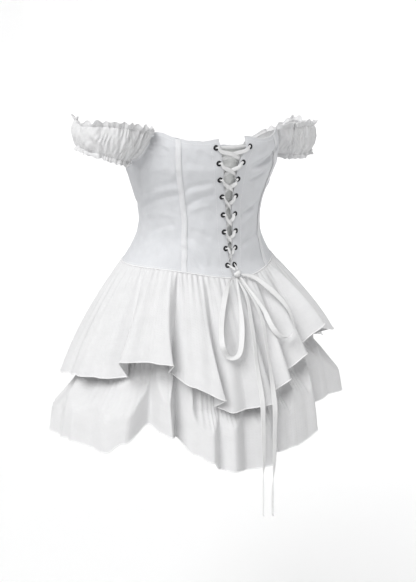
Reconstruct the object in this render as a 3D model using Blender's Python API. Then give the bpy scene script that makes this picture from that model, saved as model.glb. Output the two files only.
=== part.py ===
"""Layered chiffon mini dress with a laced corset bodice, off-the-shoulder sleeves and two skirt tiers.

Metres. +Z is up, the dress faces -Y and the wearer's left is +X. The origin is on the wearer's
axis at the natural waist. Every piece of cloth is a closed wall. Angles run around the body:
0 is the centre front, +90 the wearer's left side, 180 the centre back.
"""

import math
from collections import namedtuple

import bpy
import bmesh
import numpy as np
from mathutils import Vector

# Sizes of the cloth and the make
PANEL_THICKNESS = 0.0015
TIER_THICKNESS = 0.0012
SLEEVE_THICKNESS = 0.0012
CHANNEL_THICKNESS = 0.0010
MODESTY_THICKNESS = 0.0010
PIECE_GAP = 0.0003
CHANNEL_WIDTH = 0.0095
SIDE_SEAM_ANGLE = 103.0
SWELL_ANGLE = 118.0
SWELL_SPREAD = 62.0
MODESTY_DEPTH = 0.0080
EDGE_BEYOND_EYELET_TOP = 0.0085
EDGE_BEYOND_EYELET_FOOT = 0.0058
EYELET_BORE = 0.0024
EYELET_BARREL = 0.0031
EYELET_FLANGE = 0.0052
EYELET_SIDES = 8
LACE_THICKNESS = 0.0011
LACE_WIDTH = 0.0032
LACE_FRONT_DEPTH = 0.0008
LACE_BACK_DEPTH = -0.0024
RIBBON_THICKNESS = 0.0010
RIBBON_WIDTH = 0.0105
WAIST_GATHER_DEPTH = 0.0016
SLEEVE_GATHER_DEPTH = 0.0013
SLEEVE_FRILL_WAVE = 0.0017
SLEEVE_COLUMNS = 48
STEPS_PER_FOLD = 3

# The bodice, ring by ring: an ellipse at each height, where the princess seam crosses it, and how
# much fuller than the ellipse the two sides are towards the back
Section = namedtuple("Section", "height half_width half_depth centre_y princess_angle side_swell")
SECTIONS = [
    Section(-0.120, 0.1830, 0.1420, 0.0050, 32.0, 0.0000),
    Section(-0.088, 0.1610, 0.1220, 0.0050, 35.0, 0.0020),
    Section(-0.055, 0.1350, 0.1090, -0.0030, 40.0, 0.0085),
    Section(-0.025, 0.1210, 0.1010, -0.0090, 44.0, 0.0115),
    Section(0.000, 0.1185, 0.1000, -0.0120, 45.0, 0.0115),
    Section(0.027, 0.1230, 0.1030, -0.0110, 45.0, 0.0105),
    Section(0.060, 0.1350, 0.1110, -0.0110, 44.5, 0.0085),
    Section(0.085, 0.1460, 0.1180, -0.0110, 44.0, 0.0055),
    Section(0.105, 0.1540, 0.1230, -0.0120, 43.5, 0.0030),
    Section(0.140, 0.1580, 0.1240, -0.0120, 43.0, 0.0000),
    Section(0.165, 0.1560, 0.1190, -0.0090, 42.5, 0.0000),
    Section(0.190, 0.1540, 0.1140, -0.0070, 42.0, 0.0000),
]

# The upper edge of the bodice around one half: bust, corner, armhole, back
EdgeHeight = namedtuple("EdgeHeight", "angle height")
UPPER_EDGE = [
    EdgeHeight(0.0, 0.1590),
    EdgeHeight(9.0, 0.1600),
    EdgeHeight(15.0, 0.1570),
    EdgeHeight(24.0, 0.1535),
    EdgeHeight(34.0, 0.1550),
    EdgeHeight(47.0, 0.1620),
    EdgeHeight(58.0, 0.1700),
    EdgeHeight(62.0, 0.1670),
    EdgeHeight(67.0, 0.1490),
    EdgeHeight(74.0, 0.1310),
    EdgeHeight(82.0, 0.1220),
    EdgeHeight(90.0, 0.1190),
    EdgeHeight(100.0, 0.1200),
    EdgeHeight(110.0, 0.1230),
    EdgeHeight(122.0, 0.1270),
    EdgeHeight(150.0, 0.1270),
    EdgeHeight(180.0, 0.1250),
]

# The laced front: where each pair of eyelets sits across the front
EyeletPair = namedtuple("EyeletPair", "height right_x left_x")
EYELET_PAIRS = [
    EyeletPair(0.1420, -0.0450, 0.0277),
    EyeletPair(0.1135, -0.0390, 0.0120),
    EyeletPair(0.0825, -0.0326, 0.0050),
    EyeletPair(0.0500, -0.0235, 0.0066),
    EyeletPair(0.0150, -0.0170, 0.0094),
    EyeletPair(-0.0180, -0.0136, 0.0125),
    EyeletPair(-0.0500, -0.0105, 0.0115),
    EyeletPair(-0.0820, -0.0088, 0.0071),
]

# The folds of both skirt tiers around the hem, from the wearer's right side over the front.
# Reach is how far out of the waist seam the hem stands, lean turns it sideways into a lapped fold.
Fold = namedtuple("Fold", "angle upper_reach upper_height upper_lean lower_reach lower_height lower_lean")
FOLDS = [
    Fold(-122.0, 0.1000, -0.3100, 0.0, 0.1120, -0.4240, 0.0),
    Fold(-109.0, 0.1270, -0.3060, 0.0, 0.1560, -0.4250, 0.0),
    Fold(-98.0, 0.1150, -0.2940, 0.0, 0.1430, -0.4180, 0.0),
    Fold(-88.0, 0.1180, -0.2840, 0.0, 0.1430, -0.4080, 0.0),
    Fold(-77.0, 0.1010, -0.2810, 0.0, 0.1290, -0.4110, 0.0),
    Fold(-69.0, 0.0800, -0.2780, 3.0, 0.1400, -0.4100, 0.0),
    Fold(-60.0, 0.1220, -0.2340, -2.5, 0.1300, -0.3880, -1.0),
    Fold(-52.0, 0.1130, -0.2320, 0.0, 0.0880, -0.3620, -2.0),
    Fold(-45.0, 0.1220, -0.2330, 4.0, 0.1260, -0.3700, 3.5),
    Fold(-40.0, 0.0860, -0.2600, -3.0, 0.0920, -0.3820, -0.5),
    Fold(-32.0, 0.1100, -0.2790, 0.0, 0.1150, -0.4070, 0.0),
    Fold(-25.0, 0.1260, -0.3000, 5.0, 0.1300, -0.4190, 0.0),
    Fold(-20.0, 0.0960, -0.3220, -2.5, 0.1160, -0.4390, -1.0),
    Fold(-15.5, 0.1160, -0.3290, -0.5, 0.1300, -0.4410, 0.0),
    Fold(-9.0, 0.1080, -0.3280, 0.0, 0.1130, -0.4470, 0.0),
    Fold(-0.5, 0.1150, -0.3240, 3.0, 0.1240, -0.4430, 2.5),
    Fold(6.5, 0.0820, -0.3180, -1.0, 0.0990, -0.4330, 1.0),
    Fold(12.0, 0.1070, -0.2900, 1.5, 0.1080, -0.4290, 0.0),
    Fold(17.5, 0.0790, -0.2830, -0.5, 0.1150, -0.4260, 0.0),
    Fold(24.0, 0.1090, -0.2520, 1.5, 0.1210, -0.4210, 0.0),
    Fold(31.0, 0.0810, -0.2430, -0.5, 0.1260, -0.4120, 0.0),
    Fold(39.0, 0.1190, -0.2060, 2.0, 0.0980, -0.3750, -1.0),
    Fold(47.5, 0.1000, -0.2250, 0.0, 0.1250, -0.3630, 0.0),
    Fold(58.0, 0.1290, -0.2360, 0.0, 0.1520, -0.3660, 0.0),
    Fold(67.0, 0.0950, -0.2550, 0.0, 0.1110, -0.3800, 0.0),
    Fold(77.0, 0.1220, -0.2740, 0.0, 0.1400, -0.3940, 0.0),
    Fold(87.0, 0.0950, -0.2850, 0.0, 0.1120, -0.4020, 0.0),
    Fold(98.0, 0.1220, -0.2940, 0.0, 0.1410, -0.4090, 0.0),
    Fold(109.0, 0.0940, -0.3030, 0.0, 0.1100, -0.4160, 0.0),
    Fold(120.0, 0.1210, -0.3090, 0.0, 0.1400, -0.4200, 0.0),
    Fold(131.0, 0.0920, -0.3140, 0.0, 0.1090, -0.4250, 0.0),
    Fold(143.0, 0.1200, -0.3190, 0.0, 0.1390, -0.4300, 0.0),
    Fold(154.0, 0.0910, -0.3220, 0.0, 0.1090, -0.4330, 0.0),
    Fold(166.0, 0.1200, -0.3250, 0.0, 0.1390, -0.4350, 0.0),
    Fold(177.0, 0.0900, -0.3250, 0.0, 0.1080, -0.4360, 0.0),
    Fold(188.0, 0.1190, -0.3240, 0.0, 0.1390, -0.4340, 0.0),
    Fold(199.0, 0.0910, -0.3220, 0.0, 0.1100, -0.4320, 0.0),
    Fold(210.0, 0.1200, -0.3190, 0.0, 0.1400, -0.4290, 0.0),
    Fold(220.0, 0.0930, -0.3160, 0.0, 0.1110, -0.4270, 0.0),
    Fold(229.0, 0.1190, -0.3130, 0.0, 0.1390, -0.4250, 0.0),
]
UPPER_SWELL = 0.35
LOWER_SWELL = 0.80
UPPER_LEVELS = [0.0, 0.08, 0.22, 0.45, 0.72, 1.0]
LOWER_LEVELS = [0.0, 0.06, 0.16, 0.32, 0.50, 0.66, 0.82, 1.0]

# One sleeve between its ends, from the front around the arm to the back:
# the elastic line at its top and the one above the cuff frill
SleeveStation = namedtuple("SleeveStation", "turn top_out top_y top_height cuff_out cuff_y cuff_height")
SLEEVE = [
    SleeveStation(0.00, 0.1440, -0.0790, 0.1690, 0.1650, -0.0250, 0.1160),
    SleeveStation(0.14, 0.1650, -0.0840, 0.1700, 0.1790, -0.0480, 0.1160),
    SleeveStation(0.30, 0.1980, -0.0830, 0.1745, 0.2050, -0.0620, 0.1190),
    SleeveStation(0.45, 0.2360, -0.0580, 0.1760, 0.2340, -0.0500, 0.1265),
    SleeveStation(0.58, 0.2560, -0.0180, 0.1740, 0.2540, -0.0180, 0.1330),
    SleeveStation(0.70, 0.2520, 0.0260, 0.1840, 0.2520, 0.0180, 0.1380),
    SleeveStation(0.82, 0.2220, 0.0500, 0.1640, 0.2300, 0.0440, 0.1300),
    SleeveStation(0.92, 0.1820, 0.0560, 0.1500, 0.1900, 0.0430, 0.1200),
    SleeveStation(1.00, 0.1480, 0.0500, 0.1340, 0.1650, 0.0050, 0.1160),
]
SLEEVE_SWELL = 0.0060
SLEEVE_TILT = 0.0075
SLEEVE_LEVELS = [-0.16, 0.0, 0.33, 0.67, 1.0, 1.15]
ARMHOLE_LAP = 0.0030

# The bow ribbons where they hang in front of the skirt. Clear is the distance off the cloth,
# turn how far the flat of the ribbon is turned away from it, width a share of the full width.
RibbonStation = namedtuple("RibbonStation", "angle height clear turn width")
LOOP_RIGHT = [
    RibbonStation(-1.25, -0.1008, 0.0060, 20.0, 0.35),
    RibbonStation(-6.7, -0.1070, 0.0110, 30.0, 0.75),
    RibbonStation(-11.4, -0.1290, 0.0115, 35.0, 1.00),
    RibbonStation(-15.0, -0.1580, 0.0120, 40.0, 1.00),
    RibbonStation(-17.9, -0.1850, 0.0120, 50.0, 1.00),
    RibbonStation(-18.8, -0.2091, 0.0120, 65.0, 1.00),
    RibbonStation(-16.2, -0.2295, 0.0120, 75.0, 1.00),
    RibbonStation(-13.7, -0.2342, 0.0120, 70.0, 1.00),
    RibbonStation(-10.6, -0.2280, 0.0120, 50.0, 1.00),
    RibbonStation(-8.2, -0.2099, 0.0120, 40.0, 1.00),
    RibbonStation(-5.9, -0.1809, 0.0115, 35.0, 1.00),
    RibbonStation(-3.8, -0.1483, 0.0110, 25.0, 0.60),
    RibbonStation(0.2, -0.1049, 0.0059, 20.0, 0.35),
]
LOOP_LEFT = [
    RibbonStation(4.25, -0.0990, 0.0073, 20.0, 0.35),
    RibbonStation(12.0, -0.1064, 0.0110, 25.0, 0.80),
    RibbonStation(17.0, -0.1241, 0.0115, 30.0, 1.00),
    RibbonStation(20.9, -0.1432, 0.0120, 35.0, 1.00),
    RibbonStation(23.1, -0.1636, 0.0120, 45.0, 1.00),
    RibbonStation(22.4, -0.1840, 0.0120, 60.0, 1.00),
    RibbonStation(19.8, -0.2003, 0.0120, 75.0, 1.00),
    RibbonStation(16.9, -0.2124, 0.0120, 75.0, 1.00),
    RibbonStation(13.6, -0.2105, 0.0120, 60.0, 1.00),
    RibbonStation(10.5, -0.1969, 0.0120, 45.0, 1.00),
    RibbonStation(9.3, -0.1773, 0.0120, 35.0, 1.00),
    RibbonStation(8.5, -0.1566, 0.0115, 30.0, 0.75),
    RibbonStation(2.9, -0.1034, 0.0067, 20.0, 0.35),
]
TAIL_RIGHT = [
    RibbonStation(1.3, -0.1054, 0.0019, 0.0, 0.35),
    RibbonStation(2.6, -0.1370, 0.0045, 0.0, 0.75),
    RibbonStation(0.5, -0.1740, 0.0070, 10.0, 1.00),
    RibbonStation(-1.0, -0.2110, 0.0070, 15.0, 1.00),
    RibbonStation(-2.5, -0.2440, 0.0070, 10.0, 1.00),
    RibbonStation(-3.1, -0.2780, 0.0070, 0.0, 1.00),
    RibbonStation(-3.4, -0.3130, 0.0070, -10.0, 1.00),
    RibbonStation(-3.4, -0.3500, 0.0070, 0.0, 1.00),
    RibbonStation(-3.3, -0.3900, 0.0070, 10.0, 1.00),
    RibbonStation(-3.8, -0.4270, 0.0075, 25.0, 1.00),
    RibbonStation(-4.1, -0.4660, 0.0075, 65.0, 1.00),
    RibbonStation(-3.9, -0.5070, 0.0075, 75.0, 1.00),
    RibbonStation(-3.9, -0.5360, 0.0075, 78.0, 1.00),
]
TAIL_LEFT = [
    RibbonStation(2.95, -0.1048, 0.0023, 0.0, 0.35),
    RibbonStation(6.3, -0.1450, 0.0045, 0.0, 0.75),
    RibbonStation(6.2, -0.1830, 0.0070, 10.0, 1.00),
    RibbonStation(4.9, -0.2220, 0.0070, 15.0, 1.00),
    RibbonStation(3.6, -0.2620, 0.0070, 10.0, 1.00),
    RibbonStation(2.6, -0.3000, 0.0070, -5.0, 1.00),
    RibbonStation(2.2, -0.3350, 0.0070, -10.0, 1.00),
    RibbonStation(2.2, -0.3760, 0.0070, 0.0, 1.00),
    RibbonStation(1.5, -0.4130, 0.0070, 10.0, 1.00),
    RibbonStation(0.8, -0.4510, 0.0075, 35.0, 1.00),
    RibbonStation(0.4, -0.4910, 0.0075, 70.0, 1.00),
    RibbonStation(0.5, -0.5410, 0.0075, 78.0, 1.00),
]
KNOT_X = 0.0040
KNOT_HEIGHT = -0.0975
KNOT_HALF_SIZE = (0.0080, 0.0055, 0.0075)
KNOT_OUT = 0.0082
LACE_END_OUT = 0.0095


def smooth(table, column, at):
    """Value of one column at a place along the table, through a curve that does not overshoot."""
    x = np.array([row[0] for row in table])
    y = np.array([getattr(row, column) for row in table])
    step = np.diff(x)
    rise = np.diff(y) / step
    slope = np.zeros(len(x))
    slope[0] = rise[0]
    slope[-1] = rise[-1]
    for i in range(1, len(x) - 1):
        if rise[i - 1] * rise[i] > 0.0:
            slope[i] = 2.0 * rise[i - 1] * rise[i] / (rise[i - 1] + rise[i])
    i = int(np.clip(np.searchsorted(x, at) - 1, 0, len(step) - 1))
    t = min(max((at - x[i]) / step[i], 0.0), 1.0)
    stay = (1.0 + 2.0 * t) * (1.0 - t) ** 2
    return (stay * y[i] + (1.0 - stay) * y[i + 1]
            + step[i] * t * (1.0 - t) * ((1.0 - t) * slope[i] - t * slope[i + 1]))


def body_point(angle, height, out=0.0):
    """A point of the bodice surface, moved out level by a distance."""
    a = smooth(SECTIONS, "half_width", height)
    b = smooth(SECTIONS, "half_depth", height)
    centre = smooth(SECTIONS, "centre_y", height)
    t = math.radians(angle)
    across = np.array([b * math.sin(t), -a * math.cos(t), 0.0])
    across /= np.linalg.norm(across)
    turn = abs((angle + 180.0) % 360.0 - 180.0)
    apart = min(abs(turn - SWELL_ANGLE) / SWELL_SPREAD, 1.0)
    out = out + smooth(SECTIONS, "side_swell", height) * (0.5 + 0.5 * math.cos(math.pi * apart))
    return np.array([a * math.sin(t), centre - b * math.cos(t), height]) + out * across


def body_angle(x, height):
    """The angle at which the front of the bodice has a given x."""
    return math.degrees(math.asin(x / smooth(SECTIONS, "half_width", height)))


def upper_edge(angle):
    """Height of the top of the bodice."""
    return smooth(UPPER_EDGE, "height", abs(angle))


def waist_seam(angle):
    """Height of the seam where the skirt joins: level, with a shallow point at the front."""
    turn = (angle + 180.0) % 360.0 - 180.0
    return -0.084 - 0.022 * math.exp(-((turn - 6.0) / 36.0) ** 2)


def front_edge(side, height):
    """Angle of the laced edge of a front; side -1 is the wearer's right."""
    rows = sorted(EYELET_PAIRS)
    name = "right_x" if side < 0 else "left_x"
    down = (rows[-1].height - height) / (rows[-1].height - rows[0].height)
    down = min(max(down, 0.0), 1.0)
    beyond = EDGE_BEYOND_EYELET_TOP + (EDGE_BEYOND_EYELET_FOOT - EDGE_BEYOND_EYELET_TOP) * down
    x = smooth(rows, name, height) - side * beyond
    if side < 0:
        x = min(x, -PIECE_GAP - 0.0002)
    else:
        x = max(x, PIECE_GAP - 0.0002)
    return body_angle(x, height)


def closed_body(name, outer, inner, ring, colour):
    """One closed wall between two skins of points [row][column]; ring joins the last column to the first."""
    outer = np.asarray(outer, float)
    inner = np.asarray(inner, float)
    rows, columns = outer.shape[:2]
    mesh = bmesh.new()
    walls = [[[mesh.verts.new(p) for p in row] for row in skin] for skin in (outer, inner)]
    last = columns if ring else columns - 1
    for i in range(rows - 1):
        for j in range(last):
            k = (j + 1) % columns
            a, b = walls
            mesh.faces.new((a[i][j], a[i][k], a[i + 1][k], a[i + 1][j]))
            mesh.faces.new((b[i + 1][j], b[i + 1][k], b[i][k], b[i][j]))
    for j in range(last):
        k = (j + 1) % columns
        for i, flip in ((0, False), (rows - 1, True)):
            face = (walls[0][i][k], walls[0][i][j], walls[1][i][j], walls[1][i][k])
            mesh.faces.new(tuple(reversed(face)) if flip else face)
    if not ring:
        for i in range(rows - 1):
            for j, flip in ((0, True), (columns - 1, False)):
                face = (walls[0][i + 1][j], walls[0][i][j], walls[1][i][j], walls[1][i + 1][j])
                mesh.faces.new(tuple(reversed(face)) if flip else face)
    return finished(name, mesh, colour)


def finished(name, mesh, colour):
    """Turn a bmesh into a named object with its own material, faces outwards."""
    bmesh.ops.triangulate(mesh, faces=mesh.faces[:])
    bmesh.ops.recalc_face_normals(mesh, faces=mesh.faces[:])
    data = bpy.data.meshes.new(name)
    mesh.to_mesh(data)
    mesh.free()
    part = bpy.data.objects.new(name, data)
    bpy.context.scene.collection.objects.link(part)
    material = bpy.data.materials.new(name + "_material")
    material.use_nodes = True
    shader = material.node_tree.nodes["Principled BSDF"]
    shader.inputs["Base Color"].default_value = (*colour, 1.0)
    shader.inputs["Roughness"].default_value = 0.3 if "eyelet" in name else 0.85
    shader.inputs["Metallic"].default_value = 1.0 if "eyelet" in name else 0.0
    data.materials.append(material)
    return part


def unit(v):
    """A vector of length one."""
    return v / np.linalg.norm(v)


def skins(surface, us, vs, thickness, ring):
    """Outer and inner points of a wall: the surface, and the surface moved in with mitred corners."""
    outer = np.array([[surface(u, v) for u in us] for v in vs])
    inner = np.zeros_like(outer)
    rows, columns = outer.shape[:2]
    for i in range(rows):
        for j in range(columns):
            p = outer[i, j]
            down = outer[min(i + 1, rows - 1), j] - outer[max(i - 1, 0), j]
            before = outer[i, (j - 1) % columns if ring else max(j - 1, 0)]
            after = outer[i, (j + 1) % columns if ring else min(j + 1, columns - 1)]
            faces = [unit(np.cross(down, step)) for step in (p - before, after - p) if step.any()]
            normal = unit(sum(faces))
            inner[i, j] = p - normal * thickness / max(normal.dot(faces[0]), 0.55)
    return outer, inner


def panel(name, first_edge, second_edge, spread, levels, colour):
    """A bodice panel between two edge lines; each gives an angle for a height."""
    def point(u, v, out):
        height = 0.03
        for _ in range(4):
            first = first_edge(height)
            angle = first + (second_edge(height) - first) * u
            low = waist_seam(angle)
            height = low + (upper_edge(angle) - low) * v
        return body_point(angle, height, out)

    outer = [[point(u, v, 0.0) for u in spread] for v in levels]
    inner = [[point(u, v, -PANEL_THICKNESS) for u in spread] for v in levels]
    return closed_body(name, outer, inner, False, colour)


def beside(line, side):
    """An edge line moved half a seam gap to one side."""
    return lambda height: line(height) + side * math.degrees(PIECE_GAP / 2.0 / 0.11)


CLOTH = (0.82, 0.83, 0.84)
CHIFFON = (0.86, 0.86, 0.86)
TAPE = (0.88, 0.88, 0.87)
METAL = (0.09, 0.09, 0.10)


def build_bodice():
    """Fronts, side fronts and backs, with the boning channels over the princess seams."""
    levels = [0.0, 0.04, 0.08, 0.12, 0.17, 0.23, 0.29, 0.35, 0.43, 0.52, 0.62, 0.72, 0.82, 0.88, 0.94, 1.0]
    for side, word in ((-1, "right"), (1, "left")):
        princess = lambda height, s=side: s * smooth(SECTIONS, "princess_angle", height)
        side_seam = lambda height, s=side: s * SIDE_SEAM_ANGLE
        centre_back = lambda height, s=side: s * 180.0
        front = lambda height, s=side: front_edge(s, height)
        pieces = (
            ("front_" + word, front, beside(princess, -side), np.linspace(0.0, 1.0, 5)),
            ("side_front_" + word, beside(princess, side), beside(side_seam, -side),
             np.array([0.0, 0.12, 0.25, 0.32, 0.42, 0.55, 0.70, 0.85, 1.0])),
            ("back_" + word, beside(side_seam, side), beside(centre_back, -side), np.linspace(0.0, 1.0, 6)),
        )
        for name, first, second, spread in pieces:
            if side < 0:
                first, second = second, first
                spread = 1.0 - spread[::-1]
            panel(name, first, second, spread, levels, CLOTH)

        channel_outer = []
        channel_inner = []
        for v in levels:
            height = 0.03
            for _ in range(4):
                angle = princess(height)
                height = (waist_seam(angle) + 0.0006) * (1.0 - v) + (upper_edge(angle) - 0.001) * v
            half = math.degrees(CHANNEL_WIDTH / 2.0 / smooth(SECTIONS, "half_width", height) / 0.86)
            lift = PIECE_GAP + 0.0004
            across = (angle - half, angle, angle + half)
            channel_outer.append([body_point(t, height, lift + CHANNEL_THICKNESS) for t in across])
            channel_inner.append([body_point(t, height, lift) for t in across])
        closed_body("boning_channel_" + word, channel_outer, channel_inner, False, TAPE)


def build_modesty_panel():
    """The panel behind the lacing, sewn inside the wearer's right front."""
    outer = []
    inner = []
    for height in np.linspace(-0.086, 0.1465, 10):
        first = front_edge(-1, height) - 9.0
        second = front_edge(1, height) + 6.0
        outer_row = []
        inner_row = []
        for u in (0.0, 0.12, 0.24, 0.5, 0.75, 1.0):
            angle = first + (second - first) * u
            sewn = PANEL_THICKNESS + 0.0020
            depth = sewn + (MODESTY_DEPTH - sewn) * min(1.0, (angle - first) / 3.5)
            top = height if height < 0.14 else height - 0.003 * (1.0 - u)
            outer_row.append(body_point(angle, top, -depth))
            inner_row.append(body_point(angle, top, -depth - MODESTY_THICKNESS))
        outer.append(outer_row)
        inner.append(inner_row)
    closed_body("modesty_panel", outer, inner, False, CLOTH)


def eyelet_frame(pair, side):
    """Centre, outward direction and two directions across, for one eyelet."""
    x = pair.right_x if side < 0 else pair.left_x
    angle = body_angle(x, pair.height)
    centre = body_point(angle, pair.height)
    around = body_point(angle + 0.5, pair.height) - body_point(angle - 0.5, pair.height)
    up = body_point(angle, pair.height + 0.003) - body_point(angle, pair.height - 0.003)
    outward = np.cross(around, up)
    outward /= np.linalg.norm(outward)
    around /= np.linalg.norm(around)
    return centre, outward, around, np.cross(outward, around)


def build_eyelets():
    """Eight pairs of metal eyelets, each in its own hole of the front."""
    for side, word in ((-1, "right"), (1, "left")):
        front = bpy.data.objects["front_" + word]
        cutters = bmesh.new()
        for number, pair in enumerate(EYELET_PAIRS, 1):
            centre, outward, across, up = eyelet_frame(pair, side)
            middle = centre - outward * PANEL_THICKNESS / 2.0
            seat = PANEL_THICKNESS / 2.0 + 0.0005
            profile = (
                (EYELET_BORE, -seat), (EYELET_BARREL, -seat), (EYELET_BARREL, seat),
                (EYELET_FLANGE, seat), (EYELET_FLANGE - 0.0008, seat + 0.0007), (EYELET_BORE, seat + 0.0007),
            )
            mesh = bmesh.new()
            rings = []
            for k in range(EYELET_SIDES):
                turn = 2.0 * math.pi * k / EYELET_SIDES
                ray = across * math.cos(turn) + up * math.sin(turn)
                rings.append([mesh.verts.new(middle + ray * r + outward * h) for r, h in profile])
            for k in range(EYELET_SIDES):
                a, b = rings[k], rings[(k + 1) % EYELET_SIDES]
                for i in range(len(profile)):
                    n = (i + 1) % len(profile)
                    mesh.faces.new((a[i], b[i], b[n], a[n]))
            finished(f"eyelet_{word}_{number}", mesh, METAL)

            hole = []
            for k in range(EYELET_SIDES):
                turn = 2.0 * math.pi * k / EYELET_SIDES
                ray = across * math.cos(turn) + up * math.sin(turn)
                hole.append([cutters.verts.new(middle + ray * (EYELET_BARREL + PIECE_GAP) + outward * h)
                             for h in (-0.004, 0.004)])
            for k in range(EYELET_SIDES):
                a, b = hole[k], hole[(k + 1) % EYELET_SIDES]
                cutters.faces.new((a[0], b[0], b[1], a[1]))
            cutters.faces.new([pair_of[0] for pair_of in reversed(hole)])
            cutters.faces.new([pair_of[1] for pair_of in hole])

        bmesh.ops.recalc_face_normals(cutters, faces=cutters.faces[:])
        data = bpy.data.meshes.new("holes_" + word)
        cutters.to_mesh(data)
        cutters.free()
        holes = bpy.data.objects.new("holes_" + word, data)
        bpy.context.scene.collection.objects.link(holes)
        holes.hide_render = True
        holes.display_type = "WIRE"
        cut = front.modifiers.new("eyelet_holes", "BOOLEAN")
        cut.operation = "DIFFERENCE"
        cut.solver = "EXACT"
        cut.object = holes


def fold_value(column, s):
    """One column of the fold table at a step around the hem, eased from fold to fold."""
    count = len(FOLDS)
    place = s / STEPS_PER_FOLD
    i = math.floor(place)
    t = place - i
    turn = 360.0 if column == "angle" else 0.0
    now = getattr(FOLDS[i % count], column) + turn * (i // count)
    then = getattr(FOLDS[(i + 1) % count], column) + turn * ((i + 1) // count)
    ease = t if column == "angle" else 0.5 - 0.5 * math.cos(math.pi * t)
    return now + (then - now) * ease


def waist_gather(s, v):
    """How far the small gathers at the waist seam stand out."""
    strength = min(1.0, 0.45 + v * 6.0) * max(0.0, 1.0 - v / 0.5)
    return WAIST_GATHER_DEPTH * strength * (1.0 + math.cos(math.pi * s)) / 2.0


def upper_reach(s, v):
    """How far out of the waist seam the upper tier stands at a fraction of its drop."""
    return fold_value("upper_reach", s) * v * (1.0 + UPPER_SWELL * (1.0 - v)) + waist_gather(s, v)


def room_under_upper(s, height):
    """The reach that stays inside the upper tier at a height."""
    room = 1.0
    for k in range(-5, 6):
        seam = waist_seam(fold_value("angle", s + k))
        v = (seam - height) / (seam - fold_value("upper_height", s + k))
        if v <= 1.0:
            limit = upper_reach(s + k, max(v, 0.0))
        else:
            below = fold_value("upper_height", s + k) - height
            limit = fold_value("upper_reach", s + k) + 0.9 * max(0.0, below - 0.008)
        room = min(room, limit)
    return room


def skirt_place(angle, reach, height):
    """A point at a reach straight out of the waist seam."""
    seam = body_point(angle, waist_seam(angle))
    outward = body_point(angle, waist_seam(angle), 1.0) - seam
    place = seam + outward * reach
    place[2] = height
    return place


def upper_tier_point(s, v):
    """The outside of the upper tier."""
    angle = fold_value("angle", s) + fold_value("upper_lean", s) * v * v
    seam = waist_seam(angle) - PIECE_GAP
    height = seam + (fold_value("upper_height", s) - seam) * v
    return skirt_place(angle, upper_reach(s, v), height)


def lower_tier_point(s, v):
    """The outside of the lower tier, kept inside the upper one."""
    angle = fold_value("angle", s) + fold_value("lower_lean", s) * v * v
    seam = waist_seam(angle) - PIECE_GAP
    height = seam + (fold_value("lower_height", s) - seam) * v
    own = fold_value("lower_reach", s) * v * (1.0 + LOWER_SWELL * (1.0 - v)) + waist_gather(s, v)
    under = TIER_THICKNESS + 0.0009 + 0.0060 * min(1.0, v * 5.0)
    room = room_under_upper(s, height) - under
    return skirt_place(angle, min(own - TIER_THICKNESS - 0.0009, room), height)


def build_skirt():
    """Both tiers are gathered into the waist seam, the lower one under the upper one."""
    steps = np.arange(len(FOLDS) * STEPS_PER_FOLD, dtype=float)
    for name, point, levels in (
        ("skirt_upper_tier", upper_tier_point, UPPER_LEVELS),
        ("skirt_lower_tier", lower_tier_point, LOWER_LEVELS),
    ):
        outer, inner = skins(point, steps, levels, TIER_THICKNESS, True)
        closed_body(name, outer, inner, True, CHIFFON)


def armhole_point(front, v):
    """A point of a sleeve's end, lapped over the margin of the armhole: v runs down to the underarm."""
    reach = min(max(v, 0.0), 1.0)
    angle = 61.0 + 27.0 * reach if front else 120.0 - 28.0 * reach
    height = upper_edge(angle) - ARMHOLE_LAP + 0.006 * (reach - v) / 0.15
    return body_point(angle, height, SLEEVE_THICKNESS + 2.0 * PIECE_GAP)


def sleeve_point(side, w, v):
    """A point of a sleeve: w goes around the arm, v from the top elastic to the cuff elastic."""
    top = np.array([smooth(SLEEVE, name, w) for name in ("top_out", "top_y", "top_height")])
    cuff = np.array([smooth(SLEEVE, name, w) for name in ("cuff_out", "cuff_y", "cuff_height")])
    p = top + (cuff - top) * v
    away = np.array([p[0] - 0.190, p[1] + 0.008, 0.0])
    away /= np.linalg.norm(away)
    wave = math.cos(math.pi * w * SLEEVE_COLUMNS)
    if 0.0 <= v <= 1.0:
        swell = SLEEVE_SWELL * math.sin(math.pi * v) + SLEEVE_GATHER_DEPTH * wave
    else:
        over = min(1.0, max(-v, v - 1.0) / 0.15)
        swell = SLEEVE_GATHER_DEPTH * wave + over * (0.0025 + SLEEVE_FRILL_WAVE * wave)
    p = p + away * swell
    p[2] -= side * SLEEVE_TILT * (p[0] - 0.14) / 0.12
    near_end = min(w, 1.0 - w) / 0.12
    free = 1.0 if near_end >= 1.0 else near_end * near_end * (3.0 - 2.0 * near_end)
    p = armhole_point(w < 0.5, v) * (1.0 - free) + p * free
    return np.array([side * p[0], p[1], p[2]])


def build_sleeves():
    """A gathered band around each upper arm, with a frill above and below its elastics."""
    ws = np.linspace(0.0, 1.0, SLEEVE_COLUMNS + 1)
    for side, word in ((-1, "right"), (1, "left")):
        outer, inner = skins(lambda w, v: sleeve_point(side, w, v), ws, SLEEVE_LEVELS,
                             side * SLEEVE_THICKNESS, False)
        closed_body("sleeve_" + word, outer, inner, False, CHIFFON)


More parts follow.
